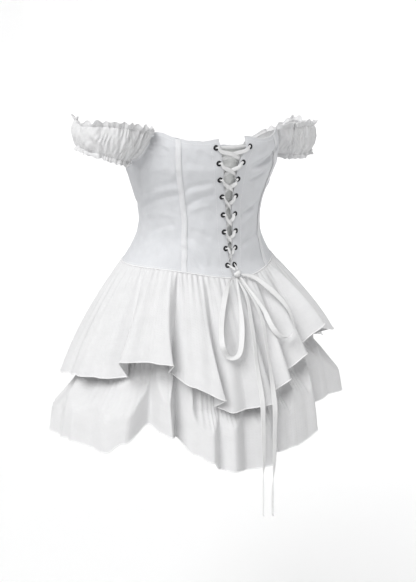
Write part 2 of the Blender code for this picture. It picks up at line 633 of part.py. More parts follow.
def swept(name, path, sides, widths, thickness, colour):
    """A flat lace or ribbon: a rectangle carried along a path, kept level with its side directions."""
    path = np.asarray(path, float)
    outer = []
    for i, p in enumerate(path):
        along = path[min(i + 1, len(path) - 1)] - path[max(i - 1, 0)]
        along /= np.linalg.norm(along)
        side = np.asarray(sides[i], float)
        side = side - along * side.dot(along)
        side /= np.linalg.norm(side)
        face = np.cross(along, side)
        w = side * widths[i] / 2.0
        t = face * thickness / 2.0
        outer.append([p - w - t, p + w - t, p + w + t, p - w + t])
    mesh = bmesh.new()
    rings = [[mesh.verts.new(q) for q in ring] for ring in outer]
    for a, b in zip(rings, rings[1:]):
        for k in range(4):
            n = (k + 1) % 4
            mesh.faces.new((a[k], a[n], b[n], b[k]))
    mesh.faces.new(tuple(reversed(rings[0])))
    mesh.faces.new(tuple(rings[-1]))
    return finished(name, mesh, colour)


def curve_through(points, steps):
    """Points along a soft curve through the given ones."""
    points = [np.asarray(p, float) for p in points]
    ends = [2.0 * points[0] - points[1]] + points + [2.0 * points[-1] - points[-2]]
    curve = []
    for a, b, c, d in zip(ends, ends[1:], ends[2:], ends[3:]):
        for t in np.arange(steps) / steps:
            curve.append(0.5 * (2.0 * b + (c - a) * t + (2.0 * a - 5.0 * b + 4.0 * c - d) * t ** 2
                                + (3.0 * b - a - 3.0 * c + d) * t ** 3))
    curve.append(points[-1])
    return curve


def front_place(x, height, out):
    """A point on the front of the bodice by its x, moved out."""
    return body_point(body_angle(x, height), height, out)


def edge_x(side, height):
    """The x of a laced edge."""
    return smooth(SECTIONS, "half_width", height) * math.sin(math.radians(front_edge(side, height)))


def by_eyelet(pair, side, inward, out):
    """A point beside an eyelet: moved towards the centre front, and out along the eyelet's own axis."""
    centre, outward, around, up = eyelet_frame(pair, side)
    return centre - side * inward * around + out * outward


def lace_strand(side, upper, lower):
    """One strand: out of an eyelet, across the gap, behind the other edge and up the next eyelet.

    The strands of the two sides cross in the middle of the gap, one in front of the other.
    """
    drop = lower.height - upper.height
    cross = upper.height + 0.5 * drop
    centre = (edge_x(1, cross) + edge_x(-1, cross)) / 2.0
    half_gap = (edge_x(1, cross) - edge_x(-1, cross)) / 2.0
    beside_cross = side * min(0.45 * half_gap, 0.0045)
    over = upper.height + 0.24 * drop
    under = upper.height + 0.76 * drop
    lap = 0.0006 if half_gap > 0.0045 else -0.0010
    depth = LACE_FRONT_DEPTH if side < 0 else LACE_BACK_DEPTH
    lean = 0.08 * drop
    return [
        by_eyelet(upper, side, 0.0, 0.0012),
        by_eyelet(upper, side, 0.0012, 0.0027),
        by_eyelet(upper, side, 0.0040, 0.0028),
        front_place(edge_x(side, over) + side * lap, over, 0.0022),
        front_place(centre + beside_cross, cross - lean, depth + 0.0006),
        front_place(centre - beside_cross, cross + lean, depth - 0.0006),
        front_place(edge_x(-side, under) - side * lap, under, -0.0040),
        by_eyelet(lower, -side, 0.0040, -0.0042),
        by_eyelet(lower, -side, 0.0012, -0.0040),
        by_eyelet(lower, -side, 0.0, -0.0022),
    ]


def build_lace():
    """The lace runs in one piece from the bow up one side, across at the top and down the other."""
    runs = {}
    for side in (-1, 1):
        run = []
        at = side
        for upper, lower in zip(EYELET_PAIRS, EYELET_PAIRS[1:]):
            run += lace_strand(at, upper, lower)
            at = -at
        last = EYELET_PAIRS[-1]
        run += [
            by_eyelet(last, at, 0.0, 0.0012),
            by_eyelet(last, at, 0.0010, 0.0028),
            front_place(KNOT_X + at * 0.0025, KNOT_HEIGHT + 0.0075, LACE_END_OUT),
        ]
        runs[side] = run
    top = EYELET_PAIRS[0]
    bar = [
        by_eyelet(top, -1, 0.0, -0.0022),
        by_eyelet(top, -1, 0.0012, -0.0038),
        by_eyelet(top, -1, 0.0060, -0.0042),
        front_place((top.right_x + top.left_x) / 2.0, top.height, -0.0045),
        by_eyelet(top, 1, 0.0060, -0.0042),
        by_eyelet(top, 1, 0.0012, -0.0038),
        by_eyelet(top, 1, 0.0, -0.0022),
    ]
    path = runs[-1][::-1] + bar + runs[1]
    swept("lace", path, [(0.0, 0.0, 1.0)] * len(path), [LACE_WIDTH] * len(path), LACE_THICKNESS, TAPE)


def skirt_front(angle, height):
    """How far out the skirt stands near an angle, at a height or above it."""
    reach = 0.0
    for s in np.arange(30.0, 90.0, 1.0):
        turn = fold_value("angle", s)
        if abs(turn - angle) > 7.0:
            continue
        seam = waist_seam(turn)
        v = (seam - height) / (seam - fold_value("upper_height", s))
        reach = max(reach, upper_reach(s, min(v, 1.0)))
        if v > 0.95:
            lower = (seam - height) / (seam - fold_value("lower_height", s))
            place = lower_tier_point(s, min(lower, 1.0))
            start = body_point(turn, seam)
            reach = max(reach, math.hypot(place[0] - start[0], place[1] - start[1]))
    return reach


def hanging_ribbon(name, stations):
    """A free ribbon of the bow, in front of the skirt."""
    centres = []
    furthest = 0.0
    for station in stations:
        seam = waist_seam(station.angle)
        if station.height > seam:
            centres.append(body_point(station.angle, station.height, station.clear))
        else:
            reach = skirt_front(station.angle, station.height) + station.clear
            furthest = max(furthest, reach) if "tail" in name else reach
            centres.append(skirt_place(station.angle, furthest, station.height))
    steps = 1 if "tail" in name else 2
    path = curve_through(centres, steps)
    places = np.arange(len(path)) / steps
    turns = np.interp(places, range(len(stations)), [station.turn for station in stations])
    widths = np.interp(places, range(len(stations)), [station.width for station in stations])
    sides = []
    for i, turn in enumerate(turns):
        along = unit(path[min(i + 1, len(path) - 1)] - path[max(i - 1, 0)])
        outward = np.array([path[i][0], path[i][1], 0.0])
        outward = unit(outward - along * outward.dot(along))
        flat = np.cross(along, outward)
        turn = math.radians(turn)
        sides.append(flat * math.cos(turn) + outward * math.sin(turn))
    swept(name, path, sides, widths * RIBBON_WIDTH, RIBBON_THICKNESS, TAPE)


def build_bow():
    """The knot below the last eyelets, two loops and two tails."""
    mesh = bmesh.new()
    bmesh.ops.create_uvsphere(mesh, u_segments=10, v_segments=6, radius=1.0)
    centre = Vector(front_place(KNOT_X, KNOT_HEIGHT, KNOT_OUT))
    for vert in mesh.verts:
        vert.co = centre + Vector([vert.co[k] * KNOT_HALF_SIZE[k] for k in range(3)])
    finished("bow_knot", mesh, TAPE)
    hanging_ribbon("bow_loop_right", LOOP_RIGHT)
    hanging_ribbon("bow_loop_left", LOOP_LEFT)
    hanging_ribbon("bow_tail_right", TAIL_RIGHT)
    hanging_ribbon("bow_tail_left", TAIL_LEFT)


def clear_scene():
    """Start from nothing."""
    for thing in list(bpy.data.objects):
        bpy.data.objects.remove(thing, do_unlink=True)


clear_scene()
build_bodice()
build_modesty_panel()
build_eyelets()
build_skirt()
build_sleeves()
build_lace()
build_bow()
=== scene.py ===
"""The looks of a layered chiffon mini dress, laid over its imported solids.

Metres, +Z up, the dress faces -Y and the wearer's left is +X. Angles run around the body:
0 is the centre front, +90 the wearer's left side, 180 the centre back.
"""

import math
from collections import namedtuple

import bpy
import numpy as np
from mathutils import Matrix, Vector


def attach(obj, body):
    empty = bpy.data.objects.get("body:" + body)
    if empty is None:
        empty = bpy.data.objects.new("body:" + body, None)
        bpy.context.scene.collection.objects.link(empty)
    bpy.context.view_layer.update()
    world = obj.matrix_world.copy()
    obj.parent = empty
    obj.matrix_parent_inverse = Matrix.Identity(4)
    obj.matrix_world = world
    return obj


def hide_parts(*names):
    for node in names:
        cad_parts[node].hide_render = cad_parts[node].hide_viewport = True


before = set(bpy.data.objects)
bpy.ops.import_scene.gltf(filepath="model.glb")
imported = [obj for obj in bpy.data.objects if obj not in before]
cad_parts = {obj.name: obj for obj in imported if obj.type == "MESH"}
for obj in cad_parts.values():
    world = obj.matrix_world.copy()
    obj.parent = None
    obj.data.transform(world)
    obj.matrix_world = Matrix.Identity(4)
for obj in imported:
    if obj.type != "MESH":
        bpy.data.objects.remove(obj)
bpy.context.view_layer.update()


# Bodice
# Six panels of plain woven white cloth, cut to the body: a front and a side front on each side of
# a princess seam, and two backs. Sewn, turned and pressed, they drag in soft diagonals to the lacing.
BodyRing = namedtuple("BodyRing", "height half_width half_depth centre_y princess_angle side_swell")
BODY_RINGS = [
    BodyRing(-0.120, 0.1830, 0.1420, 0.0050, 32.0, 0.0000),
    BodyRing(-0.088, 0.1610, 0.1220, 0.0050, 35.0, 0.0020),
    BodyRing(-0.055, 0.1350, 0.1090, -0.0030, 40.0, 0.0085),
    BodyRing(-0.025, 0.1210, 0.1010, -0.0090, 44.0, 0.0115),
    BodyRing(0.000, 0.1185, 0.1000, -0.0120, 45.0, 0.0115),
    BodyRing(0.027, 0.1230, 0.1030, -0.0110, 45.0, 0.0105),
    BodyRing(0.060, 0.1350, 0.1110, -0.0110, 44.5, 0.0085),
    BodyRing(0.085, 0.1460, 0.1180, -0.0110, 44.0, 0.0055),
    BodyRing(0.105, 0.1540, 0.1230, -0.0120, 43.5, 0.0030),
    BodyRing(0.140, 0.1580, 0.1240, -0.0120, 43.0, 0.0000),
    BodyRing(0.165, 0.1560, 0.1190, -0.0090, 42.5, 0.0000),
    BodyRing(0.190, 0.1540, 0.1140, -0.0070, 42.0, 0.0000),
]
TopEdge = namedtuple("TopEdge", "angle height")
TOP_EDGE = [
    TopEdge(0.0, 0.1590),
    TopEdge(9.0, 0.1600),
    TopEdge(15.0, 0.1570),
    TopEdge(24.0, 0.1535),
    TopEdge(34.0, 0.1550),
    TopEdge(47.0, 0.1620),
    TopEdge(58.0, 0.1700),
    TopEdge(62.0, 0.1670),
    TopEdge(67.0, 0.1490),
    TopEdge(74.0, 0.1310),
    TopEdge(82.0, 0.1220),
    TopEdge(90.0, 0.1190),
    TopEdge(100.0, 0.1200),
    TopEdge(110.0, 0.1230),
    TopEdge(122.0, 0.1270),
    TopEdge(150.0, 0.1270),
    TopEdge(180.0, 0.1250),
]
EyeletPair = namedtuple("EyeletPair", "height right_x left_x")
EYELET_PAIRS = [
    EyeletPair(0.1420, -0.0450, 0.0277),
    EyeletPair(0.1135, -0.0390, 0.0120),
    EyeletPair(0.0825, -0.0326, 0.0050),
    EyeletPair(0.0500, -0.0235, 0.0066),
    EyeletPair(0.0150, -0.0170, 0.0094),
    EyeletPair(-0.0180, -0.0136, 0.0125),
    EyeletPair(-0.0500, -0.0105, 0.0115),
    EyeletPair(-0.0820, -0.0088, 0.0071),
]
EDGE_BEYOND_EYELET_TOP = 0.0085
EDGE_BEYOND_EYELET_FOOT = 0.0058
SIDE_SEAM_ANGLE = 103.0
SWELL_ANGLE = 118.0
SWELL_SPREAD = 62.0
PANEL_CLOTH = 0.0013
PANEL_STEP = 0.0022
SEAM_GAP = 0.0003
SEAM_TUCK = 0.0009
SEAM_TUCK_REACH = 0.0028
# Drag lines in the cloth, from one place to another: width across, rise above (or below) the cloth
DragLine = namedtuple("DragLine", "angle_1 height_1 angle_2 height_2 width rise")
DRAG_LINES = [
    DragLine(-67.0, 0.1560, -49.0, 0.1400, 0.0035, 0.0016),
    DragLine(-66.0, 0.1490, -50.0, 0.1340, 0.0030, -0.0014),
    DragLine(-68.0, 0.1400, -53.0, 0.1260, 0.0035, 0.0013),
    DragLine(-70.0, 0.1310, -55.0, 0.1180, 0.0040, -0.0010),
    DragLine(-96.0, 0.0180, -44.0, 0.0570, 0.0065, -0.0026),
    DragLine(-94.0, 0.0310, -46.0, 0.0680, 0.0070, 0.0018),
    DragLine(-99.0, 0.0060, -52.0, 0.0130, 0.0055, 0.0014),
    DragLine(-84.0, 0.0500, -48.0, 0.0790, 0.0065, -0.0016),
    DragLine(-72.0, 0.0900, -53.0, 0.1060, 0.0060, 0.0012),
    DragLine(-41.0, 0.0650, -17.0, 0.0770, 0.0050, -0.0021),
    DragLine(-41.0, 0.0530, -17.0, 0.0660, 0.0060, 0.0018),
    DragLine(-42.0, 0.0330, -16.0, 0.0560, 0.0055, -0.0026),
    DragLine(-42.0, 0.0200, -18.0, 0.0350, 0.0055, 0.0016),
    DragLine(-41.0, -0.0400, -24.0, -0.0900, 0.0050, -0.0022),
    DragLine(-36.0, -0.0300, -19.0, -0.0800, 0.0060, 0.0014),
    DragLine(-86.0, -0.0240, -52.0, -0.0020, 0.0065, -0.0014),
    DragLine(-39.0, -0.0120, -18.0, -0.0310, 0.0050, -0.0012),
    DragLine(-32.0, 0.1410, -17.0, 0.1240, 0.0055, 0.0012),
    DragLine(-40.0, 0.1180, -20.0, 0.1000, 0.0070, -0.0010),
    DragLine(-50.0, 0.1240, -46.5, 0.0840, 0.0045, 0.0012),
    DragLine(56.0, 0.1540, 8.0, 0.0980, 0.0055, -0.0044),
    DragLine(58.0, 0.1600, 12.0, 0.1130, 0.0050, 0.0032),
    DragLine(55.0, 0.1380, 10.0, 0.0860, 0.0055, 0.0034),
    DragLine(48.0, 0.1240, 10.0, 0.0760, 0.0045, -0.0036),
    DragLine(60.0, 0.1430, 34.0, 0.1130, 0.0040, -0.0026),
    DragLine(10.0, 0.0030, 33.0, 0.0240, 0.0055, -0.0030),
    DragLine(12.0, -0.0100, 37.0, 0.0090, 0.0055, 0.0014),
    DragLine(11.0, -0.0500, 41.0, -0.0350, 0.0060, -0.0028),
    DragLine(42.0, -0.0440, 56.0, -0.0880, 0.0060, -0.0034),
    DragLine(37.0, 0.0570, 13.0, 0.0330, 0.0055, 0.0016),
    DragLine(40.0, 0.0380, 14.0, 0.0160, 0.0050, -0.0014),
    DragLine(99.0, 0.0210, 50.0, 0.0540, 0.0070, -0.0022),
    DragLine(96.0, 0.0390, 52.0, 0.0720, 0.0070, 0.0016),
    DragLine(98.0, -0.0240, 56.0, -0.0050, 0.0065, -0.0016),
    DragLine(128.0, 0.0080, 107.0, 0.0290, 0.0060, -0.0016),
    DragLine(166.0, 0.0020, 112.0, 0.0150, 0.0060, -0.0021),
    DragLine(172.0, 0.0200, 118.0, 0.0340, 0.0070, 0.0016),
    DragLine(160.0, 0.0510, 110.0, 0.0740, 0.0070, -0.0014),
    DragLine(176.0, -0.0320, 132.0, -0.0130, 0.0060, -0.0016),
    DragLine(-131.0, 0.0140, -107.0, 0.0300, 0.0060, -0.0016),
    DragLine(-170.0, -0.0010, -114.0, 0.0120, 0.0065, -0.0020),
    DragLine(-168.0, 0.0210, -116.0, 0.0310, 0.0065, 0.0015),
    DragLine(-158.0, 0.0560, -112.0, 0.0760, 0.0070, -0.0014),
    DragLine(-172.0, -0.0350, -134.0, -0.0180, 0.0060, -0.0014),
]


def along(table, column, at):
    """Value of a table's column at places between its rows, with no overshoot."""
    x = np.array([row[0] for row in table])
    y = np.array([getattr(row, column) for row in table])
    step = np.diff(x)
    rise = np.diff(y) / step
    slope = np.zeros(len(x))
    slope[0] = rise[0]
    slope[-1] = rise[-1]
    steady = rise[:-1] * rise[1:] > 0.0
    both = np.where(steady, rise[:-1] + rise[1:], 1.0)
    slope[1:-1] = np.where(steady, 2.0 * rise[:-1] * rise[1:] / both, 0.0)
    at = np.asarray(at, float)
    i = np.clip(np.searchsorted(x, at) - 1, 0, len(step) - 1)
    t = np.clip((at - x[i]) / step[i], 0.0, 1.0)
    stay = (1.0 + 2.0 * t) * (1.0 - t) ** 2
    lift = step[i] * t * (1.0 - t) * ((1.0 - t) * slope[i] - t * slope[i + 1])
    return stay * y[i] + (1.0 - stay) * y[i + 1] + lift


def unit(v):
    """Vectors of length one."""
    return v / np.linalg.norm(v, axis=-1, keepdims=True)


def body_point(angle, height, out=0.0):
    """Points of the bodice's outside, moved out level by a distance."""
    angle, height, out = np.broadcast_arrays(
        np.asarray(angle, float), np.asarray(height, float), np.asarray(out, float)
    )
    a = along(BODY_RINGS, "half_width", height)
    b = along(BODY_RINGS, "half_depth", height)
    middle = along(BODY_RINGS, "centre_y", height)
    t = np.radians(angle)
    level = unit(np.stack([b * np.sin(t), -a * np.cos(t), np.zeros_like(t)], -1))
    turn = np.abs((angle + 180.0) % 360.0 - 180.0)
    apart = np.minimum(np.abs(turn - SWELL_ANGLE) / SWELL_SPREAD, 1.0)
    out = out + along(BODY_RINGS, "side_swell", height) * (0.5 + 0.5 * np.cos(np.pi * apart))
    return np.stack([a * np.sin(t), middle - b * np.cos(t), height], -1) + out[..., None] * level


def body_angle(x, height):
    """The angle at which the front has a given x."""
    return np.degrees(np.arcsin(x / along(BODY_RINGS, "half_width", height)))


def top_edge(angle):
    """Height of the bodice's top."""
    return along(TOP_EDGE, "height", np.abs(angle))


def waist_seam(angle):
    """Height of the seam that joins the skirt: level, with a shallow point at the front."""
    turn = (np.asarray(angle, float) + 180.0) % 360.0 - 180.0
    return -0.084 - 0.022 * np.exp(-(((turn - 6.0) / 36.0) ** 2))


def laced_edge(side, height):
    """Angle of a front's laced edge; side -1 is the wearer's right."""
    rows = sorted(EYELET_PAIRS)
    down = np.clip((rows[-1].height - height) / (rows[-1].height - rows[0].height), 0.0, 1.0)
    beyond = EDGE_BEYOND_EYELET_TOP + (EDGE_BEYOND_EYELET_FOOT - EDGE_BEYOND_EYELET_TOP) * down
    x = along(rows, "right_x" if side < 0 else "left_x", height) - side * beyond
    x = np.minimum(x, -2.0 * SEAM_GAP) if side < 0 else np.maximum(x, 2.0 * SEAM_GAP)
    return body_angle(x, height)


def eased(t):
    """0 to 1 with soft ends."""
    t = np.clip(t, 0.0, 1.0)
    return t * t * (3.0 - 2.0 * t)


def drag(angle, height):
    """How far the drag lines lift the cloth, fading out where the lacing stays hold it flat."""
    arc = np.radians(angle) * along(BODY_RINGS, "half_width", height)
    lift = np.zeros_like(arc)
    for line in DRAG_LINES:
        middle_height = (line.height_1 + line.height_2) / 2.0
        radius = float(along(BODY_RINGS, "half_width", middle_height))
        start = np.array([math.radians(line.angle_1) * radius, line.height_1])
        run = np.array([math.radians(line.angle_2) * radius, line.height_2]) - start
        length = float(np.linalg.norm(run))
        ahead = ((arc - start[0]) * run[0] + (height - start[1]) * run[1]) / length**2
        bow = 0.06 * length * np.sin(np.pi * np.clip(ahead, 0.0, 1.0))
        beside = ((arc - start[0]) * -run[1] + (height - start[1]) * run[0]) / length - bow
        ends = eased(ahead / 0.22 + 0.15) * eased((1.0 - ahead) / 0.22 + 0.15)
        lift += line.rise * np.exp(-((beside / line.width) ** 2)) * ends
    from_edge = np.abs(angle) * 0.0022
    held = eased((from_edge - 0.016) / 0.020)
    ripple = 0.00035 * np.sin(arc * 190.0 + height * 70.0) * np.sin(height * 160.0 - arc * 40.0)
    return lift * held + ripple


def finished(name, points, faces, finish, places=None, crisp=50.0):
    """A mesh object from points and four-sided faces, with its finish and its cloth coordinates."""
    mesh = bpy.data.meshes.new(name)
    mesh.from_pydata(np.asarray(points).reshape(-1, 3).tolist(), [], np.asarray(faces).tolist())
    if places is not None:
        layer = mesh.uv_layers.new(name="cloth")
        layer.data.foreach_set("uv", np.asarray(places, np.float32).ravel())
    mesh.shade_smooth()
    mesh.set_sharp_from_angle(angle=math.radians(crisp))
    mesh.materials.append(finish)
    made = bpy.data.objects.new(name, mesh)
    bpy.context.scene.collection.objects.link(made)
    return made


def cloth(name, face, thickness, finish, ring=False, axis=(0.0, 0.0)):
    """Cloth from a grid of points on its right side [row][column]: a thin closed wall.

    A ring joins its last column to the first. The axis is the upright line that it goes around.
    """
    closed = np.concatenate([face, face[:, :1]], 1) if ring else face
    across = np.roll(face, -1, 1) - np.roll(face, 1, 1) if ring else np.gradient(face, axis=1)
    normal = unit(np.cross(across, np.gradient(face, axis=0)))
    outwards = face - np.array([axis[0], axis[1], 0.0])
    outwards[..., 2] = 0.0
    turned = (normal * outwards).sum() < 0.0
    if turned:
        normal = -normal
    back = face - normal * thickness

    rows, columns = face.shape[:2]
    number = np.arange(rows * columns).reshape(rows, columns)
    if ring:
        number = np.concatenate([number, number[:, :1]], 1)
    quads = np.stack([number[:-1, :-1], number[:-1, 1:], number[1:, 1:], number[1:, :-1]], -1).reshape(-1, 4)
    if turned:
        quads = quads[:, ::-1]
    behind = quads[:, ::-1] + rows * columns
    rims = [number[0], number[-1][::-1]]
    if not ring:
        rims += [number[::-1, 0], number[:, -1]]
    edges = np.concatenate([np.stack([r[1:], r[:-1], r[:-1] + rows * columns, r[1:] + rows * columns], -1)
                            for r in rims])
    if turned:
        edges = edges[:, ::-1]

    width = np.linalg.norm(np.diff(closed, axis=1), axis=2).mean(0)
    drop = np.linalg.norm(np.diff(closed, axis=0), axis=2).mean(1)
    u = np.concatenate([[0.0], np.cumsum(width)])
    v = np.concatenate([[0.0], np.cumsum(drop)])
    uu, vv = np.meshgrid(u, v)
    place = np.stack([uu, vv], -1)
    corner = np.stack([place[:-1, :-1], place[:-1, 1:], place[1:, 1:], place[1:, :-1]], -2).reshape(-1, 4, 2)
    if turned:
        corner = corner[:, ::-1]
    places = np.concatenate([corner, corner[:, ::-1], np.zeros((len(edges), 4, 2))])
    faces = np.concatenate([quads, behind, edges])
    return finished(name, np.concatenate([face.reshape(-1, 3), back.reshape(-1, 3)]), faces, finish, places)


def put_on(piece, node):
    """A piece takes the place of its solid and rides with the dress."""
    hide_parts(*([node] if isinstance(node, str) else node))
    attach(piece, "root")


def woven_finish(name, colour, shade, threads_mm, thread_depth, roughness, sheen, glow):
    """Plain woven cloth: threads over and under, slubs, and a soft unevenness of tone."""
    made = bpy.data.materials.new(name)
    made.use_nodes = True
    nodes = made.node_tree.nodes
    links = made.node_tree.links
    shader = nodes["Principled BSDF"]
    shader.inputs["Roughness"].default_value = roughness
    shader.inputs["Sheen Weight"].default_value = sheen
    shader.inputs["Sheen Roughness"].default_value = 0.5
    shader.inputs["Specular IOR Level"].default_value = 0.25
    shader.inputs["Subsurface Weight"].default_value = glow
    shader.inputs["Subsurface Radius"].default_value = (0.004, 0.004, 0.004)
    shader.inputs["Subsurface Scale"].default_value = 1.0

    place = nodes.new("ShaderNodeUVMap")
    place.uv_map = "cloth"
    waves = []
    for direction in ("X", "Y"):
        wave = nodes.new("ShaderNodeTexWave")
        wave.wave_type = "BANDS"
        wave.bands_direction = direction
        wave.wave_profile = "SIN"
        wave.inputs["Scale"].default_value = 1000.0 / threads_mm / 20.0
        wave.inputs["Distortion"].default_value = 1.2
        wave.inputs["Detail"].default_value = 1.0
        wave.inputs["Detail Scale"].default_value = 0.3
        links.new(place.outputs["UV"], wave.inputs["Vector"])
        waves.append(wave)
    weave = nodes.new("ShaderNodeMath")
    weave.operation = "MULTIPLY"
    links.new(waves[0].outputs["Fac"], weave.inputs[0])
    links.new(waves[1].outputs["Fac"], weave.inputs[1])

    slubs = nodes.new("ShaderNodeTexNoise")
    slubs.inputs["Scale"].default_value = 420.0
    slubs.inputs["Detail"].default_value = 4.0
    slubs.inputs["Roughness"].default_value = 0.6
    links.new(place.outputs["UV"], slubs.inputs["Vector"])
    depth = nodes.new("ShaderNodeMath")
    depth.operation = "ADD"
    links.new(weave.outputs[0], depth.inputs[0])
    links.new(slubs.outputs["Fac"], depth.inputs[1])
    bump = nodes.new("ShaderNodeBump")
    bump.inputs["Strength"].default_value = 0.5
    bump.inputs["Distance"].default_value = thread_depth
    links.new(depth.outputs[0], bump.inputs["Height"])
    links.new(bump.outputs["Normal"], shader.inputs["Normal"])

    tone = nodes.new("ShaderNodeTexNoise")
    tone.inputs["Scale"].default_value = 26.0
    tone.inputs["Detail"].default_value = 6.0
    tone.inputs["Roughness"].default_value = 0.65
    links.new(place.outputs["UV"], tone.inputs["Vector"])
    ramp = nodes.new("ShaderNodeValToRGB")
    ramp.color_ramp.elements[0].position = 0.30
    ramp.color_ramp.elements[0].color = (*shade, 1.0)
    ramp.color_ramp.elements[1].position = 0.62
    ramp.color_ramp.elements[1].color = (*colour, 1.0)
    links.new(tone.outputs["Fac"], ramp.inputs["Fac"])
    links.new(ramp.outputs["Color"], shader.inputs["Base Color"])
    return made


BODICE_CLOTH = woven_finish(
    "bodice_cloth", (0.70, 0.71, 0.73), (0.65, 0.66, 0.68), 0.55, 0.00012, 0.82, 0.10, 0.0
)


def panel_face(first, second, step=PANEL_STEP):
    """The outside of a panel between two edge lines, as a grid of points, with its angles and heights."""
    width = abs(float(second(0.03)) - float(first(0.03))) * math.radians(1.0) * 0.13
    u, v = np.meshgrid(np.linspace(0.0, 1.0, int(width / step) + 2), np.linspace(0.0, 1.0, int(0.25 / step)))
    height = np.full_like(u, 0.03)
    for _ in range(4):
        start = first(height)
        angle = start + (second(height) - start) * u
        low = waist_seam(angle)
        height = low + (top_edge(angle) - low) * v
    from_seam = np.minimum(u, 1.0 - u) * width
    tuck = SEAM_TUCK * np.exp(-((from_seam / SEAM_TUCK_REACH) ** 2))
    return body_point(angle, height, drag(angle, height) - tuck), angle, height


def beside(line, side):
    """An edge line moved half a seam gap to one side."""
    return lambda height: line(height) + side * math.degrees(SEAM_GAP / 2.0 / 0.11)


def eyelet_frame(pair, side):
    """Centre of an eyelet on the cloth's outside, and the directions out, around the body and up."""
    x = pair.right_x if side < 0 else pair.left_x
    angle = float(body_angle(x, pair.height))
    around = unit(body_point(angle + 0.5, pair.height) - body_point(angle - 0.5, pair.height))
    up = body_point(angle, pair.height + 0.003) - body_point(angle, pair.height - 0.003)
    out = unit(np.cross(around, up))
    return body_point(angle, pair.height), out, around, np.cross(out, around)


def cut_eyelet_holes(front, side):
    """Punch the eyelet holes through a front."""
    radius = 0.0030
    sides = 20
    points = []
    faces = []
    for pair in EYELET_PAIRS:
        centre, out, around, up = eyelet_frame(pair, side)
        first = len(points)
        for k in range(sides):
            turn = 2.0 * math.pi * k / sides
            ray = around * math.cos(turn) + up * math.sin(turn)
            points += [centre + ray * radius - out * 0.005, centre + ray * radius + out * 0.004]
        lower = [first + 2 * k for k in range(sides)]
        faces += [[a, b, b + 1, a + 1] for a, b in zip(lower, lower[1:] + lower[:1])]
        faces += [lower[::-1], [a + 1 for a in lower]]
    mesh = bpy.data.meshes.new("punch")
    mesh.from_pydata([list(map(float, p)) for p in points], [], faces)
    punch = bpy.data.objects.new("punch", mesh)
    bpy.context.scene.collection.objects.link(punch)
    cut = front.modifiers.new("eyelet_holes", "BOOLEAN")
    cut.operation = "DIFFERENCE"
    cut.solver = "EXACT"
    cut.object = punch
    evaluated = front.evaluated_get(bpy.context.evaluated_depsgraph_get())
    punched = bpy.data.meshes.new_from_object(evaluated)
    front.modifiers.clear()
    front.data = punched
    bpy.data.objects.remove(punch)


for side, word in ((-1, "right"), (1, "left")):
    princess = lambda height, s=side: s * along(BODY_RINGS, "princess_angle", height)
    side_seam = lambda height, s=side: s * SIDE_SEAM_ANGLE + 0.0 * np.asarray(height)
    centre_back = lambda height, s=side: s * 180.0 + 0.0 * np.asarray(height)
    laced = lambda height, s=side: laced_edge(s, height)
    for node, first, second in (
        ("front_" + word, laced, beside(princess, -side)),
        ("side_front_" + word, beside(princess, side), beside(side_seam, -side)),
        ("back_" + word, beside(side_seam, side), beside(centre_back, -side)),
    ):
        face, angles, heights = panel_face(first, second)
        piece = cloth(node + "_cloth", face, PANEL_CLOTH, BODICE_CLOTH)
        if node.startswith("front"):
            cut_eyelet_holes(piece, side)
        put_on(piece, node)


# Boning channels
# A woven tape 9.5 mm wide is stitched down over each princess seam and holds a flat bone.
# It puffs a little between its two rows of stitches and follows every drag of the cloth under it.
CHANNEL_WIDTH = 0.0095
CHANNEL_PUFF = 0.0007
CHANNEL_LIFT = 0.0012
TAPE_CLOTH = woven_finish(
    "boning_tape", (0.755, 0.76, 0.775), (0.72, 0.725, 0.74), 0.45, 0.00010, 0.75, 0.10, 0.0
)
for side, word in ((-1, "right"), (1, "left")):
    u, v = np.meshgrid(np.linspace(-1.0, 1.0, 13), np.linspace(0.0, 1.0, 110))
    height = np.full_like(u, 0.03)
    for _ in range(4):
        angle = side * along(BODY_RINGS, "princess_angle", height)
        height = (waist_seam(angle) + 0.0006) * (1.0 - v) + (top_edge(angle) - 0.001) * v
    half = np.degrees(CHANNEL_WIDTH / 2.0 / along(BODY_RINGS, "half_width", height) / 0.86)
    angle = angle + u * half
    puff = CHANNEL_PUFF * (1.0 - np.abs(u) ** 3) + 0.00025 * np.sin(height * 260.0 + side)
    face = body_point(angle, height, drag(angle, height) + CHANNEL_LIFT + puff)
    piece = cloth("boning_channel_" + word + "_tape", face, 0.0008, TAPE_CLOTH)
    put_on(piece, "boning_channel_" + word)


# Modesty panel
# A single layer of the same cloth hangs behind the lacing, sewn inside the wearer's right front.
# It lies in the shade of the two fronts, so it reads greyer, and it slackens between its stitches.
MODESTY_DEPTH = 0.0080
MODESTY_CLOTH = woven_finish(
    "modesty_cloth", (0.84, 0.85, 0.84), (0.60, 0.61, 0.60), 0.8, 0.00030, 0.9, 0.05, 0.0
)
u, height = np.meshgrid(np.linspace(0.0, 1.0, 36), np.linspace(-0.086, 0.1465, 110))
first = laced_edge(-1, height) - 9.0
angle = first + (laced_edge(1, height) + 6.0 - first) * u
sewn = PANEL_CLOTH + 0.0022
depth = sewn + (MODESTY_DEPTH - sewn) * np.minimum(1.0, (angle - first) / 3.5)
depth = depth + 0.0007 * np.sin(height * 95.0 + u * 5.0)
top = np.where(height < 0.14, height, height - 0.003 * (1.0 - u))
face = body_point(angle, top, -depth)
modesty = cloth("modesty_panel_cloth", face, 0.0009, MODESTY_CLOTH)
put_on(modesty, "modesty_panel")


